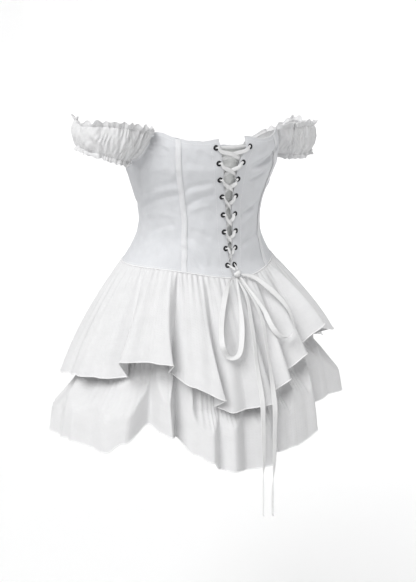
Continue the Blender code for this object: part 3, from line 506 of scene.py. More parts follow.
# Rolled top edge and waist piping
# The top of the bodice is turned over a fine cord and stitched; a narrow fold of the same tape
# covers the waist seam. Both are thin round rolls that waver slightly with the cloth.
def roll(name, line, radius, finish, closed=False, sides=8):
    """A thin round roll of cloth along a line of points."""
    line = np.asarray(line, float)
    ahead = np.roll(line, -1, 0) - np.roll(line, 1, 0) if closed else np.gradient(line, axis=0)
    ahead = unit(ahead)
    out = unit(line * np.array([1.0, 1.0, 0.0]))
    across = unit(np.cross(ahead, out))
    out = np.cross(across, ahead)
    turns = np.linspace(0.0, 2.0 * math.pi, sides, endpoint=False)
    rings = line[:, None] + radius * (
        np.cos(turns)[None, :, None] * out[:, None] + np.sin(turns)[None, :, None] * across[:, None]
    )
    count = len(line)
    number = np.arange(count * sides).reshape(count, sides)
    after = np.roll(number, -1, 0) if closed else number[1:]
    before = number if closed else number[:-1]
    quads = np.stack([before, np.roll(before, -1, 1), np.roll(after, -1, 1), after], -1).reshape(-1, 4)
    faces = quads.tolist()
    if not closed:
        faces += [number[0][::-1].tolist(), number[-1].tolist()]
    mesh = bpy.data.meshes.new(name)
    mesh.from_pydata(rings.reshape(-1, 3).tolist(), [], faces)
    layer = mesh.uv_layers.new(name="cloth")
    layer.data.foreach_set("uv", np.zeros(len(mesh.loops) * 2, np.float32))
    mesh.shade_smooth()
    mesh.materials.append(finish)
    made = bpy.data.objects.new(name, mesh)
    bpy.context.scene.collection.objects.link(made)
    return made


TOP_ROLL_RADIUS = 0.0011
for side, word in ((-1, "right"), (1, "left")):
    start = abs(float(laced_edge(side, 0.158)))
    turn = side * np.linspace(start, 180.0 - 0.1, 420)
    rise = top_edge(turn) + 0.0005 * np.sin(turn * 0.9 + side) * np.sin(turn * 0.31)
    edge = body_point(turn, rise, drag(turn, rise) - PANEL_CLOTH / 2.0)
    piece = roll("top_edge_" + word, edge, TOP_ROLL_RADIUS, TAPE_CLOTH)
    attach(piece, "root")
PIPING_RADIUS = 0.0014
turn = np.linspace(-179.9, 179.9, 720)
rise = waist_seam(turn) + 0.0006
PIPING_CLOTH = woven_finish(
    "waist_piping", (0.84, 0.84, 0.845), (0.80, 0.80, 0.805), 0.45, 0.00010, 0.75, 0.10, 0.0
)
piping = roll("waist_piping", body_point(turn, rise, drag(turn, rise) + 0.0003), PIPING_RADIUS, PIPING_CLOTH)
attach(piping, "root")


# Eyelets
# Eight pairs of rolled steel eyelets with dark plating, clenched through the fronts.
# Each is a domed ring 10.4 mm across with a smooth throat that the lace runs through.
EYELET_BORE = 0.0024
EYELET_RIM = 0.0052
EYELET_DOME = 0.0013
EYELET_TURNS = 40
EYELET_PROFILE = [
    (EYELET_BORE, -0.0030),
    (EYELET_BORE, 0.0004),
    (EYELET_BORE + 0.0004, 0.0010),
    (EYELET_BORE + 0.0011, EYELET_DOME),
    (EYELET_RIM - 0.0011, 0.0012),
    (EYELET_RIM - 0.0003, 0.0008),
    (EYELET_RIM, 0.0003),
    (EYELET_RIM - 0.0003, 0.0000),
    (EYELET_BORE + 0.0007, -0.0001),
    (EYELET_BORE + 0.0005, -0.0030),
]


def gunmetal_finish():
    """Dark plated steel, a little duller where fingers and lace have rubbed it."""
    made = bpy.data.materials.new("eyelet_metal")
    made.use_nodes = True
    nodes = made.node_tree.nodes
    links = made.node_tree.links
    shader = nodes["Principled BSDF"]
    shader.inputs["Metallic"].default_value = 1.0
    place = nodes.new("ShaderNodeTexCoord")
    rub = nodes.new("ShaderNodeTexNoise")
    rub.inputs["Scale"].default_value = 700.0
    rub.inputs["Detail"].default_value = 3.0
    links.new(place.outputs["Object"], rub.inputs["Vector"])
    colour = nodes.new("ShaderNodeValToRGB")
    colour.color_ramp.elements[0].color = (0.015, 0.015, 0.017, 1.0)
    colour.color_ramp.elements[1].color = (0.07, 0.07, 0.073, 1.0)
    links.new(rub.outputs["Fac"], colour.inputs["Fac"])
    links.new(colour.outputs["Color"], shader.inputs["Base Color"])
    dull = nodes.new("ShaderNodeMapRange")
    dull.inputs["To Min"].default_value = 0.22
    dull.inputs["To Max"].default_value = 0.42
    links.new(rub.outputs["Fac"], dull.inputs["Value"])
    links.new(dull.outputs["Result"], shader.inputs["Roughness"])
    return made


GUNMETAL = gunmetal_finish()
for side, word in ((-1, "right"), (1, "left")):
    for count, pair in enumerate(EYELET_PAIRS, 1):
        centre, out, around, up = eyelet_frame(pair, side)
        turns = np.linspace(0.0, 2.0 * math.pi, EYELET_TURNS, endpoint=False)
        rays = np.cos(turns)[:, None] * around + np.sin(turns)[:, None] * up
        rings = np.stack([centre + 0.0002 * out + rays * r + out * h for r, h in EYELET_PROFILE], 1)
        number = np.arange(rings.shape[0] * rings.shape[1]).reshape(rings.shape[:2])
        quads = np.stack(
            [number, np.roll(number, -1, 1), np.roll(np.roll(number, -1, 0), -1, 1), np.roll(number, -1, 0)], -1
        ).reshape(-1, 4)
        ring = finished(f"eyelet_{word}_{count}_ring", rings, quads[:, ::-1], GUNMETAL)
        put_on(ring, f"eyelet_{word}_{count}")


# Lace
# One flat woven lace, pulled round into each eyelet and lying flat across the gap. It starts at the
# bow, climbs one side, runs straight behind the top pair and comes down the other side.
LACE_WIDTH = 0.0070
LACE_IN_EYELET = 0.0028
LACE_THICKNESS = 0.0011
LACE_FRONT_DEPTH = 0.0010
LACE_BACK_DEPTH = -0.0022
KNOT_X = 0.0040
KNOT_HEIGHT = -0.0975
KNOT_OUT = 0.0082
LACE_END_OUT = 0.0095
LACE_CLOTH = woven_finish(
    "lace_ribbon", (0.80, 0.80, 0.80), (0.75, 0.75, 0.75), 0.7, 0.00022, 0.7, 0.10, 0.0
)
LacePoint = namedtuple("LacePoint", "place width")


def on_front(x, height, out):
    """A point on the front of the bodice by its x, moved out."""
    return body_point(float(body_angle(x, height)), height, out)


def edge_x(side, height):
    """The x of a laced edge."""
    return float(along(BODY_RINGS, "half_width", height) * np.sin(np.radians(laced_edge(side, height))))


def by_eyelet(pair, side, inward, out):
    """A point beside an eyelet: moved towards the centre front, and out along the eyelet's own axis."""
    centre, outward, around, up = eyelet_frame(pair, side)
    return centre - side * inward * around + out * outward


def lace_strand(side, upper, lower):
    """One strand: out of an eyelet, across the gap, behind the other edge and up into the next eyelet."""
    drop = lower.height - upper.height
    cross = upper.height + 0.5 * drop
    centre = (edge_x(1, cross) + edge_x(-1, cross)) / 2.0
    half_gap = (edge_x(1, cross) - edge_x(-1, cross)) / 2.0
    near = side * min(0.45 * half_gap, 0.0045)
    over = upper.height + 0.24 * drop
    under = upper.height + 0.76 * drop
    lap = 0.0006 if half_gap > 0.0045 else -0.0010
    depth = LACE_FRONT_DEPTH if side < 0 else LACE_BACK_DEPTH
    lean = 0.08 * drop
    wide = min(LACE_WIDTH, 0.0042 + 0.35 * half_gap)
    return [
        LacePoint(by_eyelet(upper, side, 0.0, 0.0010), LACE_IN_EYELET),
        LacePoint(by_eyelet(upper, side, 0.0014, 0.0026), LACE_IN_EYELET),
        LacePoint(by_eyelet(upper, side, 0.0042, 0.0030), 0.5 * (LACE_IN_EYELET + wide)),
        LacePoint(on_front(edge_x(side, over) + side * lap, over, 0.0024), wide),
        LacePoint(on_front(centre + near, cross - lean, depth + 0.0006), wide),
        LacePoint(on_front(centre - near, cross + lean, depth - 0.0006), wide),
        LacePoint(on_front(edge_x(-side, under) - side * lap, under, -0.0040), wide),
        LacePoint(by_eyelet(lower, -side, 0.0042, -0.0042), 0.5 * (LACE_IN_EYELET + wide)),
        LacePoint(by_eyelet(lower, -side, 0.0014, -0.0040), LACE_IN_EYELET),
        LacePoint(by_eyelet(lower, -side, 0.0, -0.0022), LACE_IN_EYELET),
    ]


def soft_line(points, steps):
    """A curve through points of any width, with a number of steps from each to the next."""
    points = np.asarray(points, float)
    ends = np.concatenate([[2.0 * points[0] - points[1]], points, [2.0 * points[-1] - points[-2]]])
    t = (np.arange(steps) / steps)[:, None]
    runs = []
    for a, b, c, d in zip(ends, ends[1:], ends[2:], ends[3:]):
        runs.append(0.5 * (2.0 * b + (c - a) * t + (2.0 * a - 5.0 * b + 4.0 * c - d) * t**2
                           + (3.0 * b - a - 3.0 * c + d) * t**3))
    return np.concatenate([*runs, points[-1:]])


def flat_ribbon(name, path, sides, widths, thickness, finish, cup=0.10):
    """A flat ribbon along a path: a soft-edged strip, cupped a little across."""
    path = np.asarray(path, float)
    ahead = unit(np.gradient(path, axis=0))
    sides = np.asarray(sides, float)
    sides = unit(sides - ahead * (sides * ahead).sum(1, keepdims=True))
    face = np.cross(ahead, sides)
    across = np.array([-1.0, -0.8, -0.4, 0.0, 0.4, 0.8, 1.0, 0.8, 0.4, 0.0, -0.4, -0.8])
    through = np.array([0.0, 0.8, 1.0, 1.0, 1.0, 0.8, 0.0, -0.8, -1.0, -1.0, -1.0, -0.8])
    half = np.asarray(widths)[:, None, None] / 2.0
    rings = path[:, None] + sides[:, None] * (across[None, :, None] * half)
    rings = rings + face[:, None] * (through[None, :, None] * thickness / 2.0)
    rings = rings - face[:, None] * (cup * half * across[None, :, None] ** 2)
    count, around = len(path), len(across)
    number = np.arange(count * around).reshape(count, around)
    quads = np.stack(
        [number[:-1], np.roll(number[:-1], -1, 1), np.roll(number[1:], -1, 1), number[1:]], -1
    ).reshape(-1, 4).tolist()
    faces = quads + [number[0][::-1].tolist(), number[-1].tolist()]
    mesh = bpy.data.meshes.new(name)
    mesh.from_pydata(rings.reshape(-1, 3).tolist(), [], faces)
    run = np.concatenate([[0.0], np.cumsum(np.linalg.norm(np.diff(path, axis=0), axis=1))])
    place = np.stack([np.broadcast_to(across[None] * half[:, :, 0], (count, around)),
                      np.broadcast_to(run[:, None], (count, around))], -1).reshape(-1, 2)
    layer = mesh.uv_layers.new(name="cloth")
    corner = np.empty(len(mesh.loops), np.int32)
    mesh.loops.foreach_get("vertex_index", corner)
    layer.data.foreach_set("uv", place[corner].astype(np.float32).ravel())
    mesh.shade_smooth()
    mesh.materials.append(finish)
    made = bpy.data.objects.new(name, mesh)
    bpy.context.scene.collection.objects.link(made)
    return made


runs = {}
for side in (-1, 1):
    run = []
    at = side
    for upper, lower in zip(EYELET_PAIRS, EYELET_PAIRS[1:]):
        run += lace_strand(at, upper, lower)
        at = -at
    last = EYELET_PAIRS[-1]
    run += [
        LacePoint(by_eyelet(last, at, 0.0, 0.0012), LACE_IN_EYELET),
        LacePoint(by_eyelet(last, at, 0.0010, 0.0028), LACE_IN_EYELET),
        LacePoint(on_front(KNOT_X + at * 0.0025, KNOT_HEIGHT + 0.0070, LACE_END_OUT), 0.0045),
    ]
    runs[side] = run
top = EYELET_PAIRS[0]
bar = [
    LacePoint(by_eyelet(top, -1, 0.0, -0.0022), LACE_IN_EYELET),
    LacePoint(by_eyelet(top, -1, 0.0014, -0.0038), LACE_IN_EYELET),
    LacePoint(by_eyelet(top, -1, 0.0060, -0.0042), 0.0050),
    LacePoint(on_front((top.right_x + top.left_x) / 2.0, top.height, -0.0045), LACE_WIDTH),
    LacePoint(by_eyelet(top, 1, 0.0060, -0.0042), 0.0050),
    LacePoint(by_eyelet(top, 1, 0.0014, -0.0038), LACE_IN_EYELET),
    LacePoint(by_eyelet(top, 1, 0.0, -0.0022), LACE_IN_EYELET),
]
points = runs[-1][::-1] + bar + runs[1]
lace_line = soft_line([[*p.place, p.width] for p in points], 6)
upright = np.tile([0.0, 0.0, 1.0], (len(lace_line), 1))
lace = flat_ribbon("lace_flat", lace_line[:, :3], upright, lace_line[:, 3], LACE_THICKNESS, LACE_CLOTH)
put_on(lace, "lace")


# Skirt
# Two tiers of white crepe chiffon, cut as flared rings and gathered into the waist seam, the lower
# one under the upper one. Each falls in uneven folds, some lapped over, and ends in a rolled hem.
Fold = namedtuple("Fold", "angle upper_reach upper_height upper_lean lower_reach lower_height lower_lean")
FOLDS = [
    Fold(-122.0, 0.1000, -0.3100, 0.0, 0.1120, -0.4240, 0.0),
    Fold(-109.0, 0.1270, -0.3060, 0.0, 0.1560, -0.4250, 0.0),
    Fold(-98.0, 0.1150, -0.2940, 0.0, 0.1430, -0.4180, 0.0),
    Fold(-88.0, 0.1180, -0.2840, 0.0, 0.1430, -0.4080, 0.0),
    Fold(-77.0, 0.1010, -0.2810, 0.0, 0.1290, -0.4110, 0.0),
    Fold(-69.0, 0.0800, -0.2780, 3.0, 0.1400, -0.4100, 0.0),
    Fold(-60.0, 0.1220, -0.2340, -2.5, 0.1300, -0.3880, -1.0),
    Fold(-52.0, 0.1130, -0.2320, 0.0, 0.0880, -0.3620, -2.0),
    Fold(-45.0, 0.1220, -0.2330, 4.0, 0.1260, -0.3700, 3.5),
    Fold(-40.0, 0.0860, -0.2600, -3.0, 0.0920, -0.3820, -0.5),
    Fold(-32.0, 0.1100, -0.2790, 0.0, 0.1150, -0.4070, 0.0),
    Fold(-25.0, 0.1260, -0.3000, 5.0, 0.1300, -0.4190, 0.0),
    Fold(-20.0, 0.0960, -0.3220, -2.5, 0.1160, -0.4390, -1.0),
    Fold(-15.5, 0.1160, -0.3290, -0.5, 0.1300, -0.4410, 0.0),
    Fold(-9.0, 0.1080, -0.3280, 0.0, 0.1130, -0.4470, 0.0),
    Fold(-0.5, 0.1150, -0.3240, 3.0, 0.1240, -0.4430, 2.5),
    Fold(6.5, 0.0820, -0.3180, -1.0, 0.0990, -0.4330, 1.0),
    Fold(12.0, 0.1070, -0.2900, 1.5, 0.1080, -0.4290, 0.0),
    Fold(17.5, 0.0790, -0.2830, -0.5, 0.1150, -0.4260, 0.0),
    Fold(24.0, 0.1090, -0.2520, 1.5, 0.1210, -0.4210, 0.0),
    Fold(31.0, 0.0810, -0.2430, -0.5, 0.1260, -0.4120, 0.0),
    Fold(39.0, 0.1190, -0.2060, 2.0, 0.0980, -0.3750, -1.0),
    Fold(47.5, 0.1000, -0.2250, 0.0, 0.1250, -0.3630, 0.0),
    Fold(58.0, 0.1290, -0.2360, 0.0, 0.1520, -0.3660, 0.0),
    Fold(67.0, 0.0950, -0.2550, 0.0, 0.1110, -0.3800, 0.0),
    Fold(77.0, 0.1220, -0.2740, 0.0, 0.1400, -0.3940, 0.0),
    Fold(87.0, 0.0950, -0.2850, 0.0, 0.1120, -0.4020, 0.0),
    Fold(98.0, 0.1220, -0.2940, 0.0, 0.1410, -0.4090, 0.0),
    Fold(109.0, 0.0940, -0.3030, 0.0, 0.1100, -0.4160, 0.0),
    Fold(120.0, 0.1210, -0.3090, 0.0, 0.1400, -0.4200, 0.0),
    Fold(131.0, 0.0920, -0.3140, 0.0, 0.1090, -0.4250, 0.0),
    Fold(143.0, 0.1200, -0.3190, 0.0, 0.1390, -0.4300, 0.0),
    Fold(154.0, 0.0910, -0.3220, 0.0, 0.1090, -0.4330, 0.0),
    Fold(166.0, 0.1200, -0.3250, 0.0, 0.1390, -0.4350, 0.0),
    Fold(177.0, 0.0900, -0.3250, 0.0, 0.1080, -0.4360, 0.0),
    Fold(188.0, 0.1190, -0.3240, 0.0, 0.1390, -0.4340, 0.0),
    Fold(199.0, 0.0910, -0.3220, 0.0, 0.1100, -0.4320, 0.0),
    Fold(210.0, 0.1200, -0.3190, 0.0, 0.1400, -0.4290, 0.0),
    Fold(220.0, 0.0930, -0.3160, 0.0, 0.1110, -0.4270, 0.0),
    Fold(229.0, 0.1190, -0.3130, 0.0, 0.1390, -0.4250, 0.0),
]
UPPER_SWELL = 0.35
LOWER_SWELL = 0.80
TIER_GAP = 0.0012 + 0.0009
GATHER_DEPTH = 0.0016
GATHER_STEPS = 3
TIER_CLOTH_THICKNESS = 0.0008
TIER_COLUMNS_PER_FOLD = 14
TIER_ROWS = 64
CHIFFON = woven_finish("chiffon", (0.74, 0.74, 0.745), (0.70, 0.70, 0.705), 0.9, 0.00028, 0.85, 0.12, 0.0)


def fold_value(column, place):
    """One column of the fold table at a place around the hem, counted in folds and eased between them."""
    count = len(FOLDS)
    values = np.array([getattr(fold, column) for fold in FOLDS])
    i = np.floor(place).astype(int)
    t = place - i
    turn = 360.0 if column == "angle" else 0.0
    now = values[i % count] + turn * (i // count)
    then = values[(i + 1) % count] + turn * ((i + 1) // count)
    ease = t if column == "angle" else 0.5 - 0.5 * np.cos(np.pi * t)
    return now + (then - now) * ease


def waist_gather(place, v):
    """How far the gathers at the waist seam stand out."""
    strength = np.minimum(1.0, 0.45 + v * 6.0) * np.maximum(0.0, 1.0 - v / 0.5)
    return GATHER_DEPTH * strength * (1.0 + np.cos(np.pi * GATHER_STEPS * place)) / 2.0


def upper_reach(place, v):
    """How far out of the waist seam the upper tier stands at a fraction of its drop."""
    return fold_value("upper_reach", place) * v * (1.0 + UPPER_SWELL * (1.0 - v)) + waist_gather(place, v)


def room_under_upper(place, height):
    """The reach that stays inside the upper tier at a height."""
    room = np.full(np.broadcast(place, height).shape, 1.0)
    for k in range(-5, 6):
        near = place + k / 3.0
        seam = waist_seam(fold_value("angle", near))
        hem = fold_value("upper_height", near)
        v = (seam - height) / (seam - hem)
        inside = upper_reach(near, np.clip(v, 0.0, 1.0))
        beyond = fold_value("upper_reach", near) + 0.9 * np.maximum(0.0, hem - height - 0.008)
        room = np.minimum(room, np.where(v <= 1.0, inside, beyond))
    return room


def valley(place, column):
    """How deep a fold's valley is at a place: 1 on the line of a low fold, 0 away from it."""
    values = np.array([getattr(fold, column) for fold in FOLDS])
    depth = (np.roll(values, 1) + np.roll(values, -1)) / 2.0 - values
    i = np.round(place).astype(int)
    away = place - i
    low = np.maximum(0.0, depth[i % len(FOLDS)])
    return np.minimum(low, 0.030) * np.exp(-((away / 0.20) ** 2))


def crinkle(angle, fall):
    """Fine gathers under the waist seam, and the faint upright crinkles that run down from them."""
    t = np.radians(angle)
    sway = 1.4 * np.sin(5.0 * t) + 0.9 * np.sin(11.0 * t + 1.0) + 3.0 * fall * np.sin(3.0 * t)
    uneven = 0.65 + 0.35 * np.sin(7.0 * t + 2.0) * np.sin(3.0 * t)
    fine = 0.0019 * uneven * np.exp(-fall / 0.030) * np.sin(104.0 * t + sway)
    longer = 0.0021 * uneven * (1.0 - np.exp(-fall / 0.012)) * np.exp(-fall / 0.10) * np.sin(57.0 * t + 1.7 * sway)
    faint = 0.0010 * (1.0 - np.exp(-fall / 0.05)) * np.sin(39.0 * t - 1.3 * sway + 9.0 * fall)
    return fine + longer + faint


def skirt_place(angle, reach, height):
    """Points at a reach straight out of the waist seam."""
    seam = waist_seam(angle)
    place = body_point(angle, seam, reach)
    place[..., 2] = height
    return place


def upper_tier(place, v):
    """The outside of the upper tier."""
    angle = fold_value("angle", place) + fold_value("upper_lean", place) * v * v
    seam = waist_seam(angle) - SEAM_GAP
    height = seam + (fold_value("upper_height", place) - seam) * v
    fine = crinkle(angle, seam - height) - 0.10 * valley(place, "upper_reach") * eased(v / 0.12)
    return skirt_place(angle, upper_reach(place, v) + 0.0006 + fine, height)


def lower_tier(place, v):
    """The outside of the lower tier, kept inside the upper one."""
    angle = fold_value("angle", place) + fold_value("lower_lean", place) * v * v
    seam = waist_seam(angle) - SEAM_GAP
    height = seam + (fold_value("lower_height", place) - seam) * v
    own = fold_value("lower_reach", place) * v * (1.0 + LOWER_SWELL * (1.0 - v)) + waist_gather(place, v)
    under = TIER_GAP + 0.0060 * np.minimum(1.0, v * 5.0)
    room = room_under_upper(place, height) - under
    fine = crinkle(angle, seam - height) * (0.4 + 0.6 * eased((v - 0.5) / 0.2))
    fine = fine - 0.14 * valley(place, "lower_reach") * eased((v - 0.35) / 0.3)
    return skirt_place(angle, np.minimum(own - TIER_GAP, room) + fine - 0.0004, height)


hem_lines = {}
places = np.arange(len(FOLDS) * TIER_COLUMNS_PER_FOLD) / TIER_COLUMNS_PER_FOLD
levels = np.linspace(0.0, 1.0, TIER_ROWS) ** 1.15
for node, tier, under in (
    ("skirt_upper_tier", upper_tier, "skirt_lower_tier_cloth"),
    ("skirt_lower_tier", lower_tier, None),
):
    grid_place, grid_v = np.meshgrid(places, levels)
    face = tier(grid_place, grid_v)
    piece = cloth(node + "_cloth", face, TIER_CLOTH_THICKNESS, CHIFFON, ring=True)
    put_on(piece, node)
    hem_lines[node] = face[-1]


# Rolled hems
# Each tier's edge is turned twice over a hair of cloth and stitched, which gives it a fine round
# line a little brighter than the chiffon. It wavers where the roll has twisted.
HEM_RADIUS = 0.0012
HEM_CLOTH = woven_finish("hem_roll", (0.84, 0.84, 0.845), (0.80, 0.80, 0.80), 0.9, 0.0002, 0.8, 0.1, 0.0)
for node, line in hem_lines.items():
    waver = np.sin(np.arange(len(line)) * 0.83) * np.sin(np.arange(len(line)) * 0.19)
    line = line + np.array([0.0, 0.0, 1.0]) * (0.0003 * waver[:, None] + 0.0004)
    hem = roll(node + "_hem", line, HEM_RADIUS, HEM_CLOTH, closed=True)
    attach(hem, "root")


# Sleeves
# A band of the same chiffon around each upper arm, gathered on two elastics, with a narrow frill
# standing above the upper one and a wider one falling below the lower one.
SleeveStation = namedtuple("SleeveStation", "turn top_out top_y top_height cuff_out cuff_y cuff_height")
SLEEVE = [
    SleeveStation(0.00, 0.1440, -0.0790, 0.1690, 0.1650, -0.0250, 0.1160),
    SleeveStation(0.14, 0.1650, -0.0840, 0.1700, 0.1790, -0.0480, 0.1160),
    SleeveStation(0.30, 0.1980, -0.0830, 0.1745, 0.2050, -0.0620, 0.1190),
    SleeveStation(0.45, 0.2360, -0.0580, 0.1760, 0.2340, -0.0500, 0.1265),
    SleeveStation(0.58, 0.2560, -0.0180, 0.1740, 0.2540, -0.0180, 0.1330),
    SleeveStation(0.70, 0.2520, 0.0260, 0.1840, 0.2520, 0.0180, 0.1380),
    SleeveStation(0.82, 0.2220, 0.0500, 0.1640, 0.2300, 0.0440, 0.1300),
    SleeveStation(0.92, 0.1820, 0.0560, 0.1500, 0.1900, 0.0430, 0.1200),
    SleeveStation(1.00, 0.1480, 0.0500, 0.1340, 0.1650, 0.0050, 0.1160),
]
SLEEVE_SWELL = 0.0060
SLEEVE_TILT = 0.0075
SLEEVE_GATHERS = 17
SLEEVE_COLUMNS = 420
SLEEVE_CLOTH_THICKNESS = 0.0008
ARMHOLE_LAP = 0.0030
ARMHOLE_LIFT = 0.0024


def armhole_point(w, v):
    """The sleeve's two ends, lapped over the armhole: v runs down to the underarm."""
    reach = np.clip(v, 0.0, 1.0)
    angle = np.where(w < 0.5, 61.0 + 27.0 * reach, 120.0 - 28.0 * reach)
    height = top_edge(angle) - ARMHOLE_LAP + 0.006 * (reach - v) / 0.15
    return body_point(angle, height, ARMHOLE_LIFT)


def sleeve_face(side, w, v):
    """Points of a sleeve: w goes around the arm, v from the top elastic to the lower one."""
    top = np.stack([along(SLEEVE, name, w) for name in ("top_out", "top_y", "top_height")], -1)
    cuff = np.stack([along(SLEEVE, name, w) for name in ("cuff_out", "cuff_y", "cuff_height")], -1)
    p = top + (cuff - top) * v[..., None]
    away = unit((p - np.array([0.190, -0.008, 0.0])) * np.array([1.0, 1.0, 0.0]))
    drift = 1.9 * np.sin(9.0 * w + side) + 1.1 * np.sin(21.0 * w + 2.0 * side) + 0.5 * np.sin(43.0 * w)
    phase = 2.0 * np.pi * SLEEVE_GATHERS * w + drift
    uneven = 0.70 + 0.30 * np.sin(17.0 * w + 1.3 * side) + 0.25 * np.sin(37.0 * w + 2.0)
    body = np.clip(v, 0.0, 1.0)
    slant = 1.1 * np.sin(4.0 * body + 9.0 * w) + 0.7 * np.sin(9.0 * body - 23.0 * w)
    gathers = 0.0026 * uneven * np.sin(phase + slant)
    creases = 0.0012 * np.sin(2.3 * phase - 2.0 * slant) * np.sin(5.0 * body + 13.0 * w)
    over_top = eased(-v / 0.16)
    over_cuff = eased((v - 1.0) / 0.14)
    top_wave = np.sin(0.62 * phase + 0.8)
    cuff_wave = np.sin(0.55 * phase + 2.0)
    frill = (0.0010 + 0.0044 * uneven * top_wave) * over_top + (0.0024 + 0.0046 * uneven * cuff_wave) * over_cuff
    elastic = 0.0014 * (np.exp(-((v / 0.035) ** 2)) + np.exp(-(((v - 1.0) / 0.035) ** 2)))
    p = p + away * (SLEEVE_SWELL * np.sin(np.pi * body) + gathers + creases + frill - elastic)[..., None]
    p[..., 2] += 0.0034 * over_top * uneven * np.sin(1.24 * phase + 0.3)
    p[..., 2] -= 0.0022 * over_cuff * uneven * np.sin(1.1 * phase)
    p[..., 2] -= side * SLEEVE_TILT * (p[..., 0] - 0.14) / 0.12
    free = eased(np.minimum(w, 1.0 - w) / 0.12)[..., None]
    hugging = armhole_point(w, v) + away * (0.0007 * np.sin(phase))[..., None]
    p = hugging * (1.0 - free) + p * free
    p[..., 0] *= side
    return p


levels = np.concatenate([np.linspace(-0.18, -0.02, 9), np.linspace(0.0, 1.0, 38), np.linspace(1.02, 1.16, 9)])
sleeve_lines = {}
for side, word in ((-1, "right"), (1, "left")):
    w, v = np.meshgrid(np.linspace(0.0, 1.0, SLEEVE_COLUMNS), levels)
    face = sleeve_face(side, w, v)
    piece = cloth(
        f"sleeve_{word}_cloth", face, SLEEVE_CLOTH_THICKNESS, CHIFFON, axis=(side * 0.190, -0.008)
    )
    put_on(piece, "sleeve_" + word)
    for edge, row in (("top", 0), ("cuff", -1)):
        hem = roll(f"sleeve_{word}_{edge}_hem", face[row], 0.0006, HEM_CLOTH, sides=6)
        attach(hem, "root")


# Stitching
# Rows of white thread, about eight stitches to 25 mm, each stitch a small raised bead of thread:
# along the top edge, the front facings, both sides of the boning and above the waist.
STITCH_PITCH = 0.0032
STITCH_LENGTH = 0.0024
STITCH_RADIUS = 0.00028


def thread_finish():
    """Twisted polyester thread with a little gloss."""
    made = bpy.data.materials.new("thread")
    made.use_nodes = True
    nodes = made.node_tree.nodes
    links = made.node_tree.links
    shader = nodes["Principled BSDF"]
    shader.inputs["Roughness"].default_value = 0.5
    place = nodes.new("ShaderNodeTexCoord")
    twist = nodes.new("ShaderNodeTexNoise")
    twist.inputs["Scale"].default_value = 1500.0
    links.new(place.outputs["Object"], twist.inputs["Vector"])
    ramp = nodes.new("ShaderNodeValToRGB")
    ramp.color_ramp.elements[0].color = (0.78, 0.78, 0.79, 1.0)
    ramp.color_ramp.elements[1].color = (0.93, 0.93, 0.94, 1.0)
    links.new(twist.outputs["Fac"], ramp.inputs["Fac"])
    links.new(ramp.outputs["Color"], shader.inputs["Base Color"])
    return made


THREAD = thread_finish()


def stitches(name, lines):
    """Stitches along lines of points, joined into one mesh."""
    turns = np.linspace(0.0, 2.0 * math.pi, 5, endpoint=False)
    shape = [(-0.5, 0.25), (-0.3, 1.0), (0.3, 1.0), (0.5, 0.25)]
    points = []
    faces = []
    total = 0
    for line in lines:
        line = np.asarray(line, float)
        run = np.concatenate([[0.0], np.cumsum(np.linalg.norm(np.diff(line, axis=0), axis=1))])
        middles = np.arange(STITCH_PITCH, run[-1] - STITCH_PITCH, STITCH_PITCH)
        at = np.stack([np.interp(middles, run, line[:, k]) for k in range(3)], -1)
        ahead = unit(np.stack([np.interp(middles + 0.0008, run, line[:, k]) for k in range(3)], -1) - at)
        out = unit(at * np.array([1.0, 1.0, 0.0]))
        across = unit(np.cross(ahead, out))
        out = np.cross(across, ahead)
        for offset, swell in shape:
            ring = (np.cos(turns)[None, :, None] * out[:, None] + np.sin(turns)[None, :, None] * across[:, None])
            points.append(at[:, None] + ahead[:, None] * offset * STITCH_LENGTH + ring * STITCH_RADIUS * swell)
        block = np.stack(points[-4:], 1)
        points = points[:-4] + [block.reshape(-1, 3)]
        count = len(at)
        number = total + np.arange(count * 20).reshape(count, 4, 5)
        sides = np.stack([number[:, :-1], np.roll(number[:, :-1], -1, 2),
                          np.roll(number[:, 1:], -1, 2), number[:, 1:]], -1).reshape(-1, 4)
        faces += sides.tolist() + number[:, 0, ::-1].tolist() + number[:, 3].tolist()
        total += count * 20
    mesh = bpy.data.meshes.new(name)
    mesh.from_pydata(np.concatenate(points).tolist(), [], faces)
    mesh.shade_smooth()
    mesh.materials.append(THREAD)
    made = bpy.data.objects.new(name, mesh)
    bpy.context.scene.collection.objects.link(made)
    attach(made, "root")


facing_lines = []
channel_lines = []
top_lines = []
for side in (-1, 1):
    for inset, foot in ((0.0018, -0.0950), (0.0195, -0.0960)):
        height = np.linspace(foot, 0.1560 - 0.1 * inset, 220)
        reach = np.degrees(inset / along(BODY_RINGS, "half_width", height))
        angle = laced_edge(side, height) + side * reach
        facing_lines.append(body_point(angle, height, drag(angle, height) + 0.0001))
    for edge in (-0.42, 0.42):
        height = np.linspace(-0.0930, 0.1500, 220)
        angle = side * along(BODY_RINGS, "princess_angle", height)
        angle = angle + edge * np.degrees(CHANNEL_WIDTH / along(BODY_RINGS, "half_width", height) / 0.86)
        channel_lines.append(body_point(angle, height, drag(angle, height) + CHANNEL_LIFT + 0.00045))
    angle = side * np.linspace(abs(float(laced_edge(side, 0.158))) + 0.8, 60.0, 200)
    top_lines.append(body_point(angle, top_edge(angle) - 0.0055, drag(angle, top_edge(angle) - 0.0055) + 0.0001))
    angle = side * np.linspace(68.0, 179.8, 400)
    top_lines.append(body_point(angle, top_edge(angle) - 0.0055, drag(angle, top_edge(angle) - 0.0055) + 0.0001))
stitches("facing_stitches", facing_lines)
stitches("channel_stitches", channel_lines)
stitches("top_stitches", top_lines)
angle = np.linspace(-179.9, 179.9, 700)
height = waist_seam(angle) + 0.0040
stitches("waist_stitches", [body_point(angle, height, drag(angle, height) + 0.0001)])


